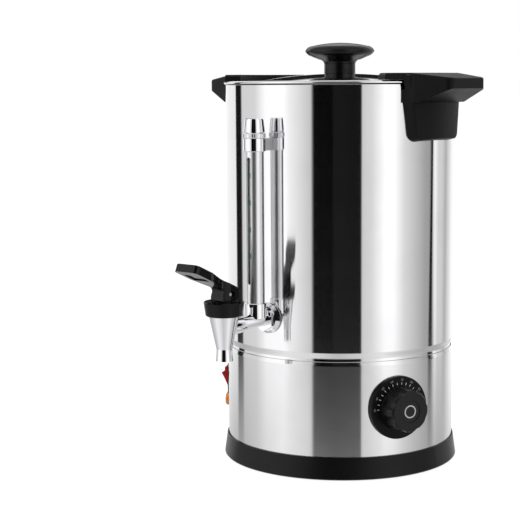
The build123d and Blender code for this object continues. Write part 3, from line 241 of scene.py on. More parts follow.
def build_grain_group() -> bpy.types.NodeTree:
    """Make the group for brushed grain: fine noise drawn out along one direction.

    Returns:
        The group, with outputs for height and for a roughness offset.
    """
    group = new_group(
        "brushed grain",
        {"Vector": Socket.VECTOR, "Fineness": Socket.VALUE, "Roughness": Socket.VALUE, "Spread": Socket.VALUE},
        {"Height": Socket.VALUE, "Roughness": Socket.VALUE},
    )
    enter, leave = group.nodes["in"], group.nodes["out"]
    noise = add_noise(group, enter.outputs["Vector"], Scale=enter.outputs["Fineness"], **GRAIN_NOISE)
    centred = add_math(group, "SUBTRACT", noise, 0.5)
    spread = add_math(group, "MULTIPLY", centred, enter.outputs["Spread"])
    rough = add_math(group, "ADD", spread, enter.outputs["Roughness"])
    feed(group, leave, {"Height": noise, "Roughness": rough})
    return group


def build_wear_group() -> bpy.types.NodeTree:
    """Make the group for handling marks: broad soft smudges.

    Returns:
        The group, with one output, a mask that is mostly low.
    """
    group = new_group("handling marks", {"Vector": Socket.VECTOR, "Size": Socket.VALUE}, {"Mask": Socket.VALUE})
    enter, leave = group.nodes["in"], group.nodes["out"]
    broad = add_noise(group, enter.outputs["Vector"], Scale=enter.outputs["Size"], **SMUDGE_NOISE)
    feed(group, leave, {"Mask": add_range(group, broad, SMUDGE_RANGE)})
    return group


def build_moulded_group() -> bpy.types.NodeTree:
    """Make the group for spark-eroded plastic: a fine pitted skin over a slow waviness.

    Returns:
        The group, with outputs for height and for a tone that varies round one.
    """
    group = new_group(
        "moulded skin",
        {"Vector": Socket.VECTOR, "Fineness": Socket.VALUE},
        {"Height": Socket.VALUE, "Tone": Socket.VALUE},
    )
    enter, leave = group.nodes["in"], group.nodes["out"]
    pits = group.nodes.new("ShaderNodeTexVoronoi")
    pits.feature = "SMOOTH_F1"
    feed(group, pits, {"Vector": enter.outputs["Vector"], "Scale": enter.outputs["Fineness"]})
    slow = add_noise(group, enter.outputs["Vector"], **WAVE_NOISE)
    height = add_math(group, "ADD", pits.outputs["Distance"], add_math(group, "MULTIPLY", slow, WAVE_HEIGHT))
    feed(group, leave, {"Height": height, "Tone": add_range(group, slow, WAVE_TONES)})
    return group


GRAIN = build_grain_group()
WEAR = build_wear_group()
MOULDED = build_moulded_group()


# ---------------------------------------------------------------- finishes
class Lay(Enum):
    """Direction of a metal's grain, as the stretch of its pattern along x, y and z."""

    UPRIGHT = (1.0, 1.0, 0.02)
    ROUND = (0.06, 0.06, 1.0)
    EVEN = (1.0, 1.0, 1.0)


def blank_material(name: str) -> tuple[bpy.types.Material, bpy.types.Node]:
    """Make a material that holds only its shader and its output.

    Args:
        name: name of the material.

    Returns:
        The material and its Principled shader.
    """
    material = bpy.data.materials.new(name)
    material.use_nodes = True
    return material, material.node_tree.nodes["Principled BSDF"]


def mapped_place(tree: bpy.types.NodeTree, stretch: tuple[float, float, float]) -> bpy.types.NodeSocket:
    """Give the object's own coordinates, stretched for a pattern.

    Args:
        tree: the material's node tree.
        stretch: scale of the pattern along x, y and z.

    Returns:
        The vector socket.
    """
    place = tree.nodes.new("ShaderNodeTexCoord")
    mapping = tree.nodes.new("ShaderNodeMapping")
    mapping.inputs["Scale"].default_value = stretch
    tree.links.new(place.outputs["Object"], mapping.inputs["Vector"])
    return mapping.outputs["Vector"]


def place_group(
    tree: bpy.types.NodeTree, group: bpy.types.NodeTree, vector: bpy.types.NodeSocket, **values: float
) -> bpy.types.Node:
    """Place a shared group in a material.

    Args:
        tree: the material's node tree.
        group: the shared group.
        vector: socket for the pattern's coordinates.
        **values: numbers for the group's other inputs.

    Returns:
        The group's node.
    """
    node = tree.nodes.new("ShaderNodeGroup")
    node.node_tree = group
    return feed(tree, node, {"Vector": vector, **values})


def add_bump(tree: bpy.types.NodeTree, shader: bpy.types.Node, height: bpy.types.NodeSocket, depth: float) -> None:
    """Feed a height into the shader's normal.

    Args:
        tree: the material's node tree.
        shader: the shader that gets the normal.
        height: the height's socket.
        depth: distance of the bump, in metres.
    """
    bump = tree.nodes.new("ShaderNodeBump")
    feed(tree, bump, {"Strength": 1.0, "Distance": depth, "Height": height})
    feed(tree, shader, {"Normal": bump.outputs["Normal"]})


@dataclass(frozen=True)
class Metal:
    """A bare or plated metal with a brushed grain, light handling marks and, where given, a band of painted shade.

    Attributes:
        name: name of the finish.
        colour: reflected colour.
        roughness: roughness between the grain's lines.
        spread: how far the grain changes the roughness.
        lay: direction of the grain.
        fineness: scale of the grain's noise.
        depth: depth of the grain, in metres.
        marks: how much the handling marks add to the roughness.
        streak: how far the reflections are drawn out along the upright axis.
        streak_turn: turn of the streaks from the tangent, as a share of a full turn.
        cove: heights from which and down to which the sheet curls outward, and how far it curls.
        cove_power: power of the way down that the curl grows with.
        ground: y from which the metal is left ground, and how much rougher it is there.
        crease: middle height and half width of a band of painted shade under a folded seam.
        matt: height below which the metal is left matt by its drawing, and how much rougher it is there.
        smudge_size: scale of the handling marks.
        smudge_tone: share of the colour that is left under a handling mark.
        ground_fade: depth over which the ground part starts.
        matt_fade: height over which the matt part starts.
        matt_metallic: how metallic the matt part is, which scatters the rest of the light.
        seam_core: share of the painted shade band's half width that is fully dark.
        seam_colour: colour of the painted shade.
    """

    name: str
    colour: Colour
    roughness: float
    spread: float
    lay: Lay = Lay.EVEN
    fineness: float = 900.0
    depth: float = 0.0
    marks: float = 0.04
    streak: float = 0.0
    streak_turn: float = 0.25
    cove: tuple[float, float, float] = ()
    cove_power: float = 2.0
    ground: tuple[float, float] = ()
    crease: tuple[float, float] = ()
    matt: tuple[float, float] = ()
    smudge_size: float = 22.0
    smudge_tone: float = 0.95
    ground_fade: float = 0.5 * MM
    matt_fade: float = 3.0 * MM
    matt_metallic: float = 0.5
    seam_core: float = 0.6
    seam_colour: Colour = (0.05, 0.05, 0.05)

    def material(self) -> bpy.types.Material:
        """Build the material of this finish."""
        material, shader = blank_material(self.name)
        tree = material.node_tree
        grain = place_group(
            tree, GRAIN, mapped_place(tree, self.lay.value),
            Fineness=self.fineness, Roughness=self.roughness, Spread=self.spread,
        )
        wear = place_group(tree, WEAR, mapped_place(tree, Lay.EVEN.value), Size=self.smudge_size).outputs["Mask"]
        axes = tree.nodes.new("ShaderNodeSeparateXYZ")
        tree.links.new(mapped_place(tree, Lay.EVEN.value), axes.inputs[0])
        across, height = axes.outputs["Y"], axes.outputs["Z"]
        bare: Source = 1.0
        rough = add_math(tree, "ADD", grain.outputs["Roughness"], add_math(tree, "MULTIPLY", wear, self.marks))
        tone = add_mix(tree, wear, self.colour, shade(self.colour, self.smudge_tone))
        if self.ground:
            edge, extra = self.ground
            zone = add_range(tree, across, (edge - self.ground_fade, edge, 0.0, extra))
            rough = add_math(tree, "ADD", rough, zone)
        if self.matt:
            edge, extra = self.matt
            zone = add_range(tree, height, (edge - self.matt_fade, edge, extra, 0.0))
            rough = add_math(tree, "ADD", rough, zone)
            bare = add_range(tree, height, (edge - self.matt_fade, edge, self.matt_metallic, 1.0))
        # painted shade: the colour goes dark in a band under the rim's rolled fold
        if self.crease:
            middle, half = self.crease
            away = add_math(tree, "ABSOLUTE", add_math(tree, "SUBTRACT", height, middle))
            dark = add_range(tree, away, (self.seam_core * half, half, 1.0, 0.0))
            tone = add_mix(tree, dark, tone, self.seam_colour)
        feed(tree, shader, {"Metallic": bare, "Roughness": rough, "Base Color": tone})
        if self.depth > 0:
            add_bump(tree, shader, grain.outputs["Height"], self.depth)
        if self.cove:
            upper, lower, curl = self.cove
            share = add_range(tree, height, (upper, lower, 0.0, 1.0))
            add_bump(tree, shader, add_math(tree, "POWER", share, self.cove_power), curl)
        if self.streak > 0:
            tangent = tree.nodes.new("ShaderNodeTangent")
            tangent.direction_type = "RADIAL"
            tangent.axis = "Z"
            feed(tree, shader, {
                "Anisotropic": self.streak, "Anisotropic Rotation": self.streak_turn, "Tangent": tangent.outputs[0],
            })
        return material


@dataclass(frozen=True)
class Plastic:
    """A moulded plastic or rubber with a pitted skin.

    Attributes:
        name: name of the finish.
        colour: colour of the plastic.
        roughness: roughness of its skin.
        fineness: scale of the pits.
        depth: depth of the pits, in metres.
        coat: strength of a clear skin over it.
        marks: how much the handling marks add to the roughness.
        sheen: strength of the plain reflection, where 0.5 is that of most plastics.
        smudge_size: scale of the handling marks.
        coat_roughness: roughness of the clear skin.
    """

    name: str
    colour: Colour
    roughness: float
    fineness: float
    depth: float
    coat: float = 0.0
    marks: float = 0.08
    sheen: float = 0.5
    smudge_size: float = 30.0
    coat_roughness: float = 0.08

    def material(self) -> bpy.types.Material:
        """Build the material of this finish."""
        material, shader = blank_material(self.name)
        tree = material.node_tree
        vector = mapped_place(tree, Lay.EVEN.value)
        skin = place_group(tree, MOULDED, vector, Fineness=self.fineness)
        wear = place_group(tree, WEAR, vector, Size=self.smudge_size)
        marks = add_math(tree, "MULTIPLY", wear.outputs["Mask"], self.marks)
        feed(tree, shader, {
            "Base Color": add_mix(tree, 1.0, self.colour, skin.outputs["Tone"], "MULTIPLY"),
            "Roughness": add_math(tree, "ADD", marks, self.roughness), "Specular IOR Level": self.sheen,
            "Coat Weight": self.coat, "Coat Roughness": self.coat_roughness,
        })
        add_bump(tree, shader, skin.outputs["Height"], self.depth)
        return material


@dataclass(frozen=True)
class Glass:
    """Drawn glass, a little marked along its length.

    Attributes:
        name: name of the finish.
        colour: tint of the glass.
        roughness: roughness of its surface.
        clearness: how much light goes straight through.
        bending: its index of refraction.
        marks: how much the handling marks add to the roughness.
        smudge_size: scale of the handling marks.
    """

    name: str
    colour: Colour
    roughness: float
    clearness: float
    bending: float = 1.47
    marks: float = 0.06
    smudge_size: float = 160.0

    def material(self) -> bpy.types.Material:
        """Build the material of this finish."""
        material, shader = blank_material(self.name)
        tree = material.node_tree
        wear = place_group(tree, WEAR, mapped_place(tree, Lay.UPRIGHT.value), Size=self.smudge_size)
        marks = add_math(tree, "MULTIPLY", wear.outputs["Mask"], self.marks)
        feed(tree, shader, {
            "Base Color": self.colour, "Roughness": add_math(tree, "ADD", marks, self.roughness),
            "Transmission Weight": self.clearness, "IOR": self.bending,
        })
        return material


@dataclass(frozen=True)
class Ink:
    """Printed ink, a little uneven.

    Attributes:
        name: name of the finish.
        colour: colour of the ink.
        roughness: roughness of its surface.
        fineness: scale of its unevenness.
        thin: share of the colour that is left where the ink is thin.
    """

    name: str
    colour: Colour
    roughness: float = 0.55
    fineness: float = 1500.0
    thin: float = 0.75

    def material(self) -> bpy.types.Material:
        """Build the material of this finish."""
        material, shader = blank_material(self.name)
        tree = material.node_tree
        noise = add_noise(tree, mapped_place(tree, Lay.EVEN.value), Scale=self.fineness)
        tone = add_mix(tree, noise, shade(self.colour, self.thin), self.colour)
        feed(tree, shader, {"Base Color": tone, "Roughness": self.roughness})
        return material


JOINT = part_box("lower_casing")[1].z           # where the drum's sheet meets the lower casing
RIM = 362.5 * MM                              # top of the drum's rolled rim
RIM_FOLD_SHADE = (RIM - 1.1 * MM, 0.8 * MM)             # painted shade under the rim's fold: its middle height and half width
STEEL: Colour = (0.80, 0.80, 0.81)
CHROME: Colour = (0.88, 0.88, 0.90)
BLACK: Colour = (0.003, 0.003, 0.0032)

FINISHES = {finish.name: finish for finish in (
    Metal(
        "polished steel", STEEL, 0.09, 0.02, Lay.ROUND, 1400.0, marks=0.012, streak=0.9,
        # a band of painted shade under the rolled rim
        cove=(JOINT + 5.6 * MM, JOINT + 0.4 * MM, 1.3 * MM), crease=RIM_FOLD_SHADE,
    ),
    Metal("spun lid steel", STEEL, 0.05, 0.03, Lay.EVEN, 500.0, marks=0.04),
    Metal("satin steel", (0.78, 0.78, 0.79), 0.125, 0.03, Lay.ROUND, 1200.0, marks=0.012, streak=0.9),
    Metal(
        # a band of painted shade under the rolled rim
        "drawn tank steel", (0.82, 0.82, 0.83), 0.12, 0.08, Lay.ROUND, 500.0, crease=RIM_FOLD_SHADE,
        matt=(358.0 * MM, 0.36),
    ),
    Metal("tube steel", (0.84, 0.84, 0.85), 0.3, 0.06, Lay.UPRIGHT, 900.0),
    Metal("chrome plate", CHROME, 0.03, 0.01, marks=0.02),
    Metal("clamp chrome", CHROME, 0.05, 0.02, marks=0.02, ground=(-119.5 * MM, 0.5)),
    Metal("zinc plate", (0.60, 0.62, 0.66), 0.32, 0.10, marks=0.08),
    Metal("galvanised sheet", (0.52, 0.54, 0.56), 0.42, 0.18, Lay.EVEN, 120.0),
    Metal("cast aluminium", (0.76, 0.76, 0.77), 0.45, 0.15, Lay.EVEN, 700.0, 0.02 * MM),
    Metal("element sheath", (0.34, 0.30, 0.27), 0.5, 0.15, Lay.EVEN, 260.0, 0.01 * MM),
    Metal("brass", (0.75, 0.56, 0.27), 0.28, 0.10),
    Plastic("satin black", (0.006, 0.006, 0.0064), 0.30, 1400.0, 0.02 * MM, sheen=0.11),
    Plastic("knob black", (0.007, 0.007, 0.0074), 0.34, 1400.0, 0.02 * MM, sheen=0.26),
    Plastic("handle black", (0.005, 0.005, 0.0053), 0.42, 1300.0, 0.02 * MM, sheen=0.14),
    Plastic("lever black", BLACK, 0.13, 1100.0, 0.01 * MM, marks=0.05, sheen=0.3),
    Plastic("bonnet black", BLACK, 0.14, 1100.0, 0.01 * MM, marks=0.05, sheen=0.2),
    Plastic("smooth black", BLACK, 0.26, 900.0, 0.004 * MM, marks=0.04, sheen=0.3),
    Plastic("base black", (0.004, 0.004, 0.0043), 0.36, 1200.0, 0.02 * MM, sheen=0.22),
    Plastic("foot rubber", (0.03, 0.03, 0.03), 0.8, 800.0, 0.1 * MM),
    Plastic("silicone", (0.72, 0.71, 0.67), 0.5, 900.0, 0.03 * MM),
    Plastic("nylon", (0.80, 0.79, 0.74), 0.45, 900.0, 0.03 * MM),
    Plastic("phenolic", (0.07, 0.05, 0.04), 0.5, 700.0, 0.04 * MM),
    Plastic("red switch", (0.56, 0.008, 0.014), 0.22, 900.0, 0.01 * MM, 0.5, 0.04),
    Plastic("red button", (0.5, 0.02, 0.02), 0.4, 900.0, 0.02 * MM),
    Plastic("orange lens", (0.86, 0.28, 0.03), 0.15, 700.0, 0.01 * MM, 0.8, 0.03),
    Glass("gauge glass", (0.93, 0.94, 0.94), 0.2, 0.1),
    Ink("white ink", (0.86, 0.86, 0.86)),
    Ink("grey ink", (0.34, 0.34, 0.35)),
    Ink("green ink", (0.02, 0.28, 0.2)),
)}

NODE_FINISHES = {
    "polished steel": ("body_shell",),
    "spun lid steel": ("lid",),
    "satin steel": ("lower_casing",),
    "drawn tank steel": ("inner_tank",),
    "tube steel": ("gauge_guard",),
    "chrome plate": ("tap_shank", "tap_flange", "tap_nuts", "tap_body", "gauge_base", "gauge_ring", "gauge_cap"),
    "clamp chrome": ("gauge_collar",),
    "zinc plate": (
        "base_screws", "tie_studs", "tie_nuts", "cutout_nut", "dial_screws", "dial_shaft", "tap_stem", "lever_pin",
        "tap_spring", "gauge_screw", "handle_screws", "lid_screw", "lid_washer",
    ),
    "galvanised sheet": ("bottom_plate",),
    "cast aluminium": ("heat_spreader",),
    "element sheath": ("heating_element",),
    "brass": ("element_tabs", "terminal_screws"),
    "satin black": ("dial_plate", "switch_body", "lamp_housing", "cord_gland", "gland_nut"),
    "knob black": ("dial_knob",),
    "handle black": ("handle_right", "handle_left"),
    "lever black": ("tap_lever",),
    "bonnet black": ("tap_bonnet",),
    "smooth black": ("lid_knob", "knob_cap"),
    "base black": ("base_ring",),
    "foot rubber": ("rubber_feet",),
    "silicone": ("tap_seals", "bonnet_seal", "gauge_seals", "seat_cup"),
    "nylon": ("lamp_nut", "terminal_block"),
    "phenolic": ("thermostat_body", "cutout_body"),
    "red switch": ("rocker",),
    "red button": ("reset_button",),
    "orange lens": ("lamp_lens",),
    "gauge glass": ("gauge_glass",),
}


def dress_nodes() -> None:
    """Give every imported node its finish."""
    dressed = set()
    for finish, nodes in NODE_FINISHES.items():
        material = FINISHES[finish].material()
        for name in nodes:
            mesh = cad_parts[name].data
            mesh.materials.clear()
            mesh.materials.append(material)
            dressed.add(name)
        LOG.info("%s on %d nodes", finish, len(nodes))
    bare = sorted(set(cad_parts) - dressed)
    if bare:
        LOG.warning("nodes without a finish: %s", bare)


# ---------------------------------------------------------------- printed marks
def seat_on(node: str, start: Vector, direction: Vector) -> Vector:
    """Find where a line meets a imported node.

    Args:
        node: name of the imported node.
        start: a point outside the node.
        direction: direction of the line.

    Returns:
        The first point on the node along the line, or the start where there is none.
    """
    hit, spot, _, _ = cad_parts[node].ray_cast(start, direction)
    return spot if hit else start


def settle(piece: bpy.types.Object, name: str, body: str, material: bpy.types.Material) -> bpy.types.Object:
    """Finish a piece: its place goes into its mesh, its faces point outward and it rides on a body.

    Args:
        piece: the piece, which is the only one selected.
        name: name of the piece.
        body: body that carries it.
        material: its finish.

    Returns:
        The piece.
    """
    piece.name = name
    bpy.ops.object.transform_apply(location=True, rotation=True, scale=True)
    bpy.ops.object.mode_set(mode="EDIT")
    bpy.ops.mesh.select_all(action="SELECT")
    bpy.ops.mesh.remove_doubles(threshold=WELD)
    bpy.ops.mesh.normals_make_consistent(inside=False)
    bpy.ops.object.mode_set(mode="OBJECT")
    piece.data.materials.clear()
    piece.data.materials.append(material)
    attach(piece, body)
    return piece


def join_pieces(pieces: list[bpy.types.Object]) -> bpy.types.Object:
    """Join several objects into the first one.

    Args:
        pieces: the objects.

    Returns:
        The first object, which is the only one selected.
    """
    bpy.ops.object.select_all(action="DESELECT")
    for piece in pieces:
        piece.select_set(True)
    bpy.context.view_layer.objects.active = pieces[0]
    bpy.ops.object.join()
    return pieces[0]


@dataclass(frozen=True)
class DialScale:
    """Ticks and plain numbers printed round the thermostat's knob, and the ring on the knob's cap.

    Attributes:
        station: where the knob's axis leaves the drum.
        first: direction of the first tick, from the right, anticlockwise, in degrees.
        step: turn from one tick to the next, in degrees.
        ticks: number of ticks.
        tick_middle: distance of the ticks' middles from the knob's axis.
        tick_size: width and length of a tick.
        tick_edge: how far a tick's edges are broken.
        print_height: height of the print over the plate.
        print_depth: how deep the print reaches into the plate.
        numbers: the numbers, from the first tick on.
        number_every: ticks from one number to the next.
        number_middle: distance of the numbers' middles from the knob's axis.
        number_size: height of the font.
        number_steps: facets along each curve of a number.
        ring_radius: radius of the ring on the cap.
        ring_width: width of that ring.
        ring_facets: facets along and round that ring.
    """

    station: Station = Station(-24.5, 0.0661, 0.17)
    first: float = 180.0
    step: float = -12.0
    ticks: int = 13
    tick_middle: float = 22.4 * MM
    tick_size: tuple[float, float] = (0.62 * MM, 2.2 * MM)
    tick_edge: float = 0.03 * MM
    print_height: float = 0.06 * MM
    print_depth: float = 0.06 * MM
    numbers: tuple[int, ...] = (30, 40, 50, 60, 70, 80, 90)
    number_every: int = 2
    number_middle: float = 25.9 * MM
    number_size: float = 3.0 * MM
    number_steps: int = 4
    ring_radius: float = 5.4 * MM
    ring_width: float = 1.15 * MM
    ring_facets: tuple[int, int] = (72, 12)

    def spot(self, node: str, turn: float, distance: float) -> Matrix:
        """Give the place on a node at a turn and a distance from the knob's axis.

        Args:
            node: the node that carries the mark.
            turn: direction from the knob's axis, from the right, anticlockwise, in degrees.
            distance: distance from the knob's axis.

        Returns:
            A matrix whose x runs clockwise round the axis, y away from it and z out of the wall.
        """
        base = self.station.matrix()
        angle = math.radians(turn)
        start = base @ Vector((distance * math.cos(angle), distance * math.sin(angle), 0.0))
        seat = seat_on(node, start, -base.col[2].xyz)
        return Matrix.Translation(seat) @ base.to_3x3().to_4x4() @ Matrix.Rotation(angle - math.pi / 2, 4, "Z")

    def tick(self) -> bpy.types.Object:
        """Model one tick: a flat bar with its edges broken."""
        bpy.ops.object.select_all(action="DESELECT")
        bpy.ops.mesh.primitive_cube_add(size=1.0)
        bar = bpy.context.active_object
        thick = self.print_height + self.print_depth
        bar.scale = (*self.tick_size, thick)
        bar.location = (0.0, 0.0, self.print_height - thick / 2)
        bpy.ops.object.transform_apply(location=True, rotation=False, scale=True)
        bevel = bar.modifiers.new("edge", "BEVEL")
        bevel.width = self.tick_edge
        bevel.segments = 1
        bpy.ops.object.modifier_apply(modifier="edge")
        return bar

    def build_ticks(self, ink: bpy.types.Material) -> bpy.types.Object:
        """Model the ticks round the knob.

        Args:
            ink: finish of the print.

        Returns:
            The piece.
        """
        bars = []
        for index in range(self.ticks):
            bars.append(self.tick())
            bars[-1].matrix_world = self.spot("dial_plate", self.first + index * self.step, self.tick_middle)
        return settle(join_pieces(bars), "dial_ticks", "root", ink)

    def build_numbers(self, ink: bpy.types.Material) -> bpy.types.Object:
        """Model the numbers outside the ticks.

        Args:
            ink: finish of the print.

        Returns:
            The piece.
        """
        figures = []
        lift = Matrix.Translation(UP * (self.print_height - self.print_depth) / 2)
        for index, number in enumerate(self.numbers):
            bpy.ops.object.select_all(action="DESELECT")
            bpy.ops.object.text_add()
            figure = bpy.context.active_object
            figure.data.body = str(number)
            figure.data.size = self.number_size
            figure.data.extrude = (self.print_height + self.print_depth) / 2
            figure.data.align_x = "CENTER"
            figure.data.align_y = "CENTER"
            figure.data.resolution_u = self.number_steps
            bpy.ops.object.convert(target="MESH")
            turn = self.first + self.number_every * index * self.step
            figure.matrix_world = self.spot("dial_plate", turn, self.number_middle) @ lift
            figures.append(figure)
        return settle(join_pieces(figures), "dial_numbers", "root", ink)

    def build_ring(self, ink: bpy.types.Material) -> bpy.types.Object:
        """Model the ring printed on the knob's cap: a torus pressed almost flat.

        Args:
            ink: finish of the print.

        Returns:
            The piece.
        """
        bpy.ops.object.select_all(action="DESELECT")
        along, around = self.ring_facets
        bpy.ops.mesh.primitive_torus_add(
            major_radius=self.ring_radius, minor_radius=self.ring_width / 2,
            major_segments=along, minor_segments=around,
        )
        ring = bpy.context.active_object
        ring.scale = (1.0, 1.0, self.print_height * 2 / self.ring_width)
        bpy.ops.object.transform_apply(location=False, rotation=False, scale=True)
        ring.matrix_world = self.spot("knob_cap", 90.0, 0.0)
        return settle(ring, "knob_ring", "dial", ink)

    def build(self) -> list[bpy.types.Object]:
        """Model all marks of the dial."""
        bright, faint = FINISHES["white ink"].material(), FINISHES["grey ink"].material()
        return [self.build_ticks(bright), self.build_numbers(faint), self.build_ring(bright)]


@dataclass(frozen=True)
class LevelMarks:
    """Level marks printed on the gauge's guard, beside its slot.

    Attributes:
        centre: the guard's axis, as x and y.
        radius: outer radius of the guard.
        heights: heights of the marks.
        start: where a mark starts, round the guard from its front, in degrees.
        sweep: how far round the guard a mark reaches, in degrees.
        section: thickness and height of a mark.
        steps: number of facets round a mark.
    """

    centre: tuple[float, float] = (0.0, -129.0 * MM)
    radius: float = 8.5 * MM
    heights: tuple[float, ...] = (208.0 * MM, 231.6 * MM, 255.8 * MM, 280.3 * MM)
    start: float = 15.6
    sweep: float = 8.5
    section: tuple[float, float] = (0.12 * MM, 4.6 * MM)
    steps: int = 6

    def mark(self, height: float) -> bpy.types.Object:
        """Model one mark: a small upright strip that is spun round the guard's axis.

        Args:
            height: height of the mark.

        Returns:
            The mark.
        """
        turn = math.radians(self.start)
        outward = Vector((math.sin(turn), -math.cos(turn), 0.0))
        axis = Vector((*self.centre, height))
        bpy.ops.object.select_all(action="DESELECT")
        bpy.ops.mesh.primitive_plane_add(size=1.0)
        strip = bpy.context.active_object
        thick, high = self.section
        basis = Matrix((outward * thick, UP * high, outward.cross(UP))).transposed().to_4x4()
        strip.matrix_world = Matrix.Translation(axis + outward * self.radius) @ basis
        bpy.ops.object.transform_apply(location=True, rotation=True, scale=True)
        bpy.ops.object.mode_set(mode="EDIT")
        bpy.ops.mesh.select_all(action="SELECT")
        bpy.ops.mesh.spin(steps=self.steps, angle=math.radians(self.sweep), center=axis, axis=UP)
        bpy.ops.object.mode_set(mode="OBJECT")
        return strip

    def build(self) -> bpy.types.Object:
        """Model the marks as one piece."""
        strips = [self.mark(height) for height in self.heights]
        return settle(join_pieces(strips), "level_marks", "root", FINISHES["green ink"].material())


# ---------------------------------------------------------------- the tap's spring
@dataclass(frozen=True)
class TapSpring:
    """The spring that presses the seat cup down; it shortens as the stem is lifted.

    Attributes:
        turns: number of turns.
        wire: radius of the wire.
        facets: facets round the wire.
        steps: facets along one turn.
        lift: how far the stem lifts its lower end; not used.
        smooth: angle in degrees under which neighbouring facets look like one surface.
    """

    turns: int = 5
    wire: float = 0.5 * MM
    facets: int = 12
    steps: int = 36
    lift: float = 4.28 * MM
    smooth: float = 40.0

    def build(self) -> bpy.types.Object:
        """Wind the spring from a round section in place of the imported spring, and hide that one."""
        low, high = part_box("tap_spring")
        middle = (low + high) / 2
        radius = (high.x - low.x) / 2 - self.wire
        length = high.z - low.z - 2 * self.wire
        bpy.ops.object.select_all(action="DESELECT")
        bpy.ops.mesh.primitive_circle_add(
            vertices=self.facets, radius=self.wire, location=(radius, 0.0, 0.0), rotation=(math.pi / 2, 0.0, 0.0)
        )
        coil = bpy.context.active_object
        bpy.ops.object.transform_apply(location=True, rotation=True, scale=True)
        wind = coil.modifiers.new("wind", "SCREW")
        wind.axis = "Z"
        wind.angle = 2 * math.pi
        wind.iterations = self.turns
        wind.screw_offset = length / self.turns
        wind.steps = self.steps
        wind.render_steps = self.steps
        bpy.ops.object.modifier_apply(modifier="wind")
        bpy.ops.object.mode_set(mode="EDIT")
        bpy.ops.mesh.select_all(action="SELECT")
        bpy.ops.mesh.remove_doubles(threshold=WELD)
        bpy.ops.mesh.fill_holes(sides=0)
        bpy.ops.object.mode_set(mode="OBJECT")
        bpy.ops.object.shade_smooth_by_angle(angle=math.radians(self.smooth))
        coil.location = (middle.x, middle.y, low.z + self.wire)
        settle(coil, "tap_spring_coil", "root", FINISHES["zinc plate"].material())
        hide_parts("tap_spring")
        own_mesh(coil)
        return coil


# ---------------------------------------------------------------- studio
@dataclass(frozen=True)
class PictureCamera:
    """The camera's stand.

    Attributes:
        azimuth: direction of the camera from -Y towards +X, in degrees.
        distance: distance from the drum's axis, in metres.
        sidestep: how far the camera stands to the left of the line to the axis.
        height: height of the lens.
        aim_left: how far left of the axis the middle of the picture lies.
        aim_height: height of the middle of the picture at the axis.
        roll: turn of the camera about its line of sight, in degrees.
        lens: focal length, in millimetres.
        sensor: width of the sensor, in millimetres.
    """

    azimuth: float = 37.5
    distance: float = 1.382
    sidestep: float = 0.0256
    height: float = 0.3618
    aim_left: float = 0.0780
    aim_height: float = 0.1906
    roll: float = -0.39
    lens: float = 98.5
    sensor: float = 36.0

    def add(self) -> None:
        """Add the camera and make it the scene's camera."""
        turn = math.radians(self.azimuth)
        back = Vector((math.sin(turn), -math.cos(turn), 0.0))
        right = Vector((math.cos(turn), math.sin(turn), 0.0))
        eye = back * self.distance - right * self.sidestep + UP * self.height
        target = UP * self.aim_height - right * self.aim_left
        data = bpy.data.cameras.new("camera")
        data.sensor_width = self.sensor
        data.lens = self.lens
        camera = bpy.data.objects.new("camera", data)
        bpy.context.scene.collection.objects.link(camera)
        camera.location = eye
        look = (target - eye).to_track_quat("-Z", "Y").to_matrix()
        camera.rotation_euler = (look @ Matrix.Rotation(math.radians(self.roll), 3, "Z")).to_euler()
        bpy.context.scene.camera = camera


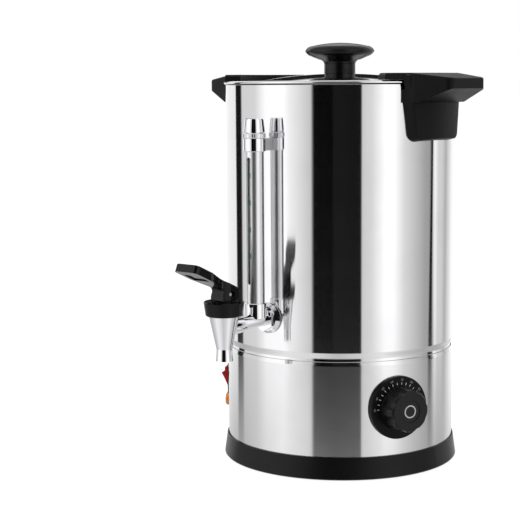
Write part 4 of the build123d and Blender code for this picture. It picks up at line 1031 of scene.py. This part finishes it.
@dataclass(frozen=True)
class StudioSky:
    """Soft boxes and black cards round the object, as a sky that only shiny surfaces see.

    Attributes:
        front: azimuth of the sky's zero, from -Y towards +X, in degrees.
        fill: brightness of the sky for matt surfaces.
        table: elevations between which the cards give way to the table below them, in degrees.
        near_table: the same for the black card in front, which stands nearer.
        near: directions between which that card gives way to the others.
        ceiling: elevations between which the cards give way to the ceiling.
        ceiling_level: brightness of the ceiling.
        back: directions between which the cards give way to the dark back of the studio.
        back_level: brightness of the back.
        dusk: elevations between which the back grows dark.
        dawn: elevations between which it is light again.
        table_levels: direction in degrees to the right of the front, and the table's brightness there.
        cards: the same for the soft boxes and black cards.
    """

    front: float = 37.5
    fill: float = 0.62
    table: tuple[float, float] = (-10.5, -14.0)
    near_table: tuple[float, float] = (-15.0, -21.0)
    near: tuple[float, float] = (29.0, 33.0)
    ceiling: tuple[float, float] = (40.0, 65.0)
    ceiling_level: float = 0.7
    back: tuple[float, float] = (150.0, 160.0)
    back_level: float = 0.012
    dusk: tuple[float, float] = (3.0, 5.0)
    dawn: tuple[float, float] = (15.0, 18.0)
    table_levels: tuple[tuple[float, float], ...] = (
        (-180.0, 0.8), (-125.0, 0.5), (-92.0, 0.7), (-62.0, 0.98), (-30.0, 0.85), (-4.0, 0.62), (22.0, 0.75),
        (48.0, 0.98), (74.0, 0.66), (100.0, 0.46), (125.0, 0.5), (150.0, 0.8), (180.0, 0.8),
    )
    cards: tuple[tuple[float, float], ...] = (
        (-180.0, 1.1), (-129.0, 1.0), (-128.0, 0.008), (-117.0, 0.008), (-116.0, 0.78), (-94.0, 0.82),
        (-80.0, 1.25), (-58.0, 1.30), (-52.0, 1.1), (-28.5, 0.66), (-27.9, 0.002), (-8.0, 0.001), (-7.0, 0.009),
        (20.4, 0.006), (21.0, 0.75), (30.0, 0.84), (44.0, 1.30), (54.0, 1.30), (66.0, 0.86), (93.0, 0.44),
        (98.6, 0.42), (98.9, 0.004), (105.2, 0.004), (105.6, 1.1), (113.5, 1.1), (114.5, 0.78), (122.0, 0.76),
        (131.0, 0.5), (135.0, 0.7), (150.0, 1.1), (180.0, 1.1),
    )

    @staticmethod
    def rise(start: float, end: float) -> tuple[float, float, float, float]:
        """Give the limits of a blend between two elevations, for the sine of the elevation."""
        return math.sin(math.radians(start)), math.sin(math.radians(end)), 0.0, 1.0

    @staticmethod
    def span(start: float, end: float) -> tuple[float, float, float, float]:
        """Give the limits of a blend between two directions."""
        return math.radians(start), math.radians(end), 0.0, 1.0

    @staticmethod
    def ramp(
        tree: bpy.types.NodeTree, share: bpy.types.NodeSocket, levels: tuple[tuple[float, float], ...]
    ) -> bpy.types.NodeSocket:
        """Turn a direction into a brightness.

        Args:
            tree: the world's node tree.
            share: direction, from 0 at -180 degrees to 1 at 180.
            levels: pairs of a direction in degrees and the brightness there.

        Returns:
            The brightness as a colour socket.
        """
        node = tree.nodes.new("ShaderNodeValToRGB")
        tree.links.new(share, node.inputs["Fac"])
        stops = node.color_ramp.elements
        while len(stops) < len(levels):
            stops.new(1.0)
        for stop, (direction, level) in zip(stops, levels):
            stop.position = (direction + 180.0) / 360.0
            stop.color = (*grey(level), 1.0)
        return node.outputs["Color"]

    def level(self, tree: bpy.types.NodeTree, share: Source, height: Source, aside: Source) -> bpy.types.NodeSocket:
        """Give the sky's brightness for shiny surfaces.

        Args:
            tree: the world's node tree.
            share: direction, from 0 at -180 degrees to 1 at 180.
            height: sine of the elevation.
            aside: how far the direction is from the front, in radians.

        Returns:
            The brightness as a colour socket.
        """
        behind = add_range(tree, aside, self.span(*self.back))
        dusk, dawn = (add_range(tree, height, self.rise(*limits)) for limits in (self.dusk, self.dawn))
        dark = add_math(tree, "MULTIPLY", behind, add_math(tree, "SUBTRACT", dusk, dawn))
        cards = add_mix(tree, dark, self.ramp(tree, share, self.cards), grey(self.back_level))
        far, close = (add_range(tree, height, self.rise(*limits)) for limits in (self.table, self.near_table))
        beside = add_range(tree, aside, self.span(*self.near))
        below = add_math(tree, "MAXIMUM", close, add_math(tree, "MULTIPLY", beside, far))
        round_about = add_mix(tree, below, cards, self.ramp(tree, share, self.table_levels))
        above = add_range(tree, height, self.rise(*self.ceiling))
        return add_mix(tree, above, round_about, grey(self.ceiling_level))

    def add(self) -> None:
        """Build the sky in the scene's world."""
        world = bpy.data.worlds.new("studio sky")
        bpy.context.scene.world = world
        world.use_nodes = True
        tree = world.node_tree
        tree.nodes.clear()
        place = tree.nodes.new("ShaderNodeTexCoord")
        axes = tree.nodes.new("ShaderNodeSeparateXYZ")
        tree.links.new(place.outputs["Generated"], axes.inputs[0])
        backwards = add_math(tree, "MULTIPLY", axes.outputs["Y"], -1.0)
        angle = add_math(tree, "ARCTAN2", axes.outputs["X"], backwards)
        turned = add_math(tree, "SUBTRACT", angle, math.radians(self.front))
        wrapped = add_math(tree, "WRAP", turned, math.pi, -math.pi)
        share = add_range(tree, wrapped, (-math.pi, math.pi, 0.0, 1.0))
        level = self.level(tree, share, axes.outputs["Z"], add_math(tree, "ABSOLUTE", wrapped))
        matt, shiny, plain = (tree.nodes.new("ShaderNodeBackground") for _ in range(3))
        for node, colour in ((matt, grey(self.fill)), (shiny, level), (plain, grey(1.0))):
            feed(tree, node, {"Color": colour})
        rays = tree.nodes.new("ShaderNodeLightPath").outputs
        lit = mix_shaders(tree, rays["Is Glossy Ray"], matt.outputs[0], shiny.outputs[0])
        seen = add_math(tree, "MAXIMUM", rays["Is Camera Ray"], rays["Is Transmission Ray"])
        whole = mix_shaders(tree, seen, lit, plain.outputs[0])
        feed(tree, tree.nodes.new("ShaderNodeOutputWorld"), {"Surface": whole})


@dataclass(frozen=True)
class SoftLamp:
    """A square soft lamp that points at the drum.

    Attributes:
        name: name of the lamp.
        azimuth: direction of the lamp from -Y towards +X, in degrees.
        distance: distance of the lamp from the drum's axis.
        height: height of the lamp.
        size: side of the lamp.
        power: power of the lamp, in watts.
        aim: height of the place on the drum's axis that it points at.
    """

    name: str
    azimuth: float
    distance: float
    height: float
    size: float
    power: float
    aim: float = 0.2

    def add(self) -> None:
        """Add the lamp."""
        turn = math.radians(self.azimuth)
        data = bpy.data.lights.new(self.name, "AREA")
        data.shape = "SQUARE"
        data.size = self.size
        data.energy = self.power
        lamp = bpy.data.objects.new(self.name, data)
        bpy.context.scene.collection.objects.link(lamp)
        lamp.location = (self.distance * math.sin(turn), -self.distance * math.cos(turn), self.height)
        lamp.rotation_euler = (UP * self.aim - lamp.location).to_track_quat("-Z", "Y").to_euler()
        lamp.visible_glossy = False


@dataclass(frozen=True)
class Floor:
    """The pale floor that the urn stands on.

    Attributes:
        size: side of the floor, in metres.
        glow: brightness that the camera sees besides the light on it.
        colour: colour of the floor.
    """

    size: float = 60.0
    glow: float = 0.86
    colour: float = 0.3

    def add(self) -> None:
        """Add the floor; shiny surfaces see the sky's low part in its place."""
        bpy.ops.object.select_all(action="DESELECT")
        bpy.ops.mesh.primitive_plane_add(size=self.size, location=(0.0, 0.0, 0.0))
        floor = bpy.context.active_object
        floor.name = "floor"
        material = bpy.data.materials.new("floor")
        material.use_nodes = True
        tree = material.node_tree
        tree.nodes.clear()
        rays = tree.nodes.new("ShaderNodeLightPath").outputs
        matt = feed(tree, tree.nodes.new("ShaderNodeBsdfDiffuse"), {"Color": grey(self.colour)})
        strength = add_math(tree, "MULTIPLY", rays["Is Camera Ray"], self.glow)
        glow = feed(tree, tree.nodes.new("ShaderNodeEmission"), {"Color": grey(1.0), "Strength": strength})
        lit = feed(tree, tree.nodes.new("ShaderNodeAddShader"), {0: matt.outputs[0], 1: glow.outputs[0]})
        clear = tree.nodes.new("ShaderNodeBsdfTransparent")
        from_below = tree.nodes.new("ShaderNodeNewGeometry").outputs["Backfacing"]
        unseen = add_math(tree, "MAXIMUM", rays["Is Glossy Ray"], from_below)
        whole = mix_shaders(tree, unseen, lit.outputs[0], clear.outputs[0])
        feed(tree, tree.nodes.new("ShaderNodeOutputMaterial"), {"Surface": whole})
        floor.data.materials.append(material)


LAMPS = (
    SoftLamp("key lamp", -20.0, 1.6, 1.5, 1.2, 14.0),
    SoftLamp("right lamp", 110.0, 1.7, 1.3, 1.0, 8.0),
    SoftLamp("back lamp", 215.0, 1.8, 1.6, 1.2, 8.0),
)


def main() -> None:
    """Dress the urn, add its printed marks and set up the studio."""
    logging.basicConfig(level=logging.INFO, format="%(message)s")
    bpy.context.scene.view_settings.view_transform = "Standard"
    PictureCamera().add()
    dress_nodes()
    for piece in [*DialScale().build(), LevelMarks().build(), TapSpring().build()]:
        LOG.info("%s modelled, %d faces", piece.name, len(piece.data.polygons))
    StudioSky().add()
    for lamp in LAMPS:
        lamp.add()
        LOG.info("%s added", lamp.name)
    Floor().add()


if __name__ == "__main__":
    main()
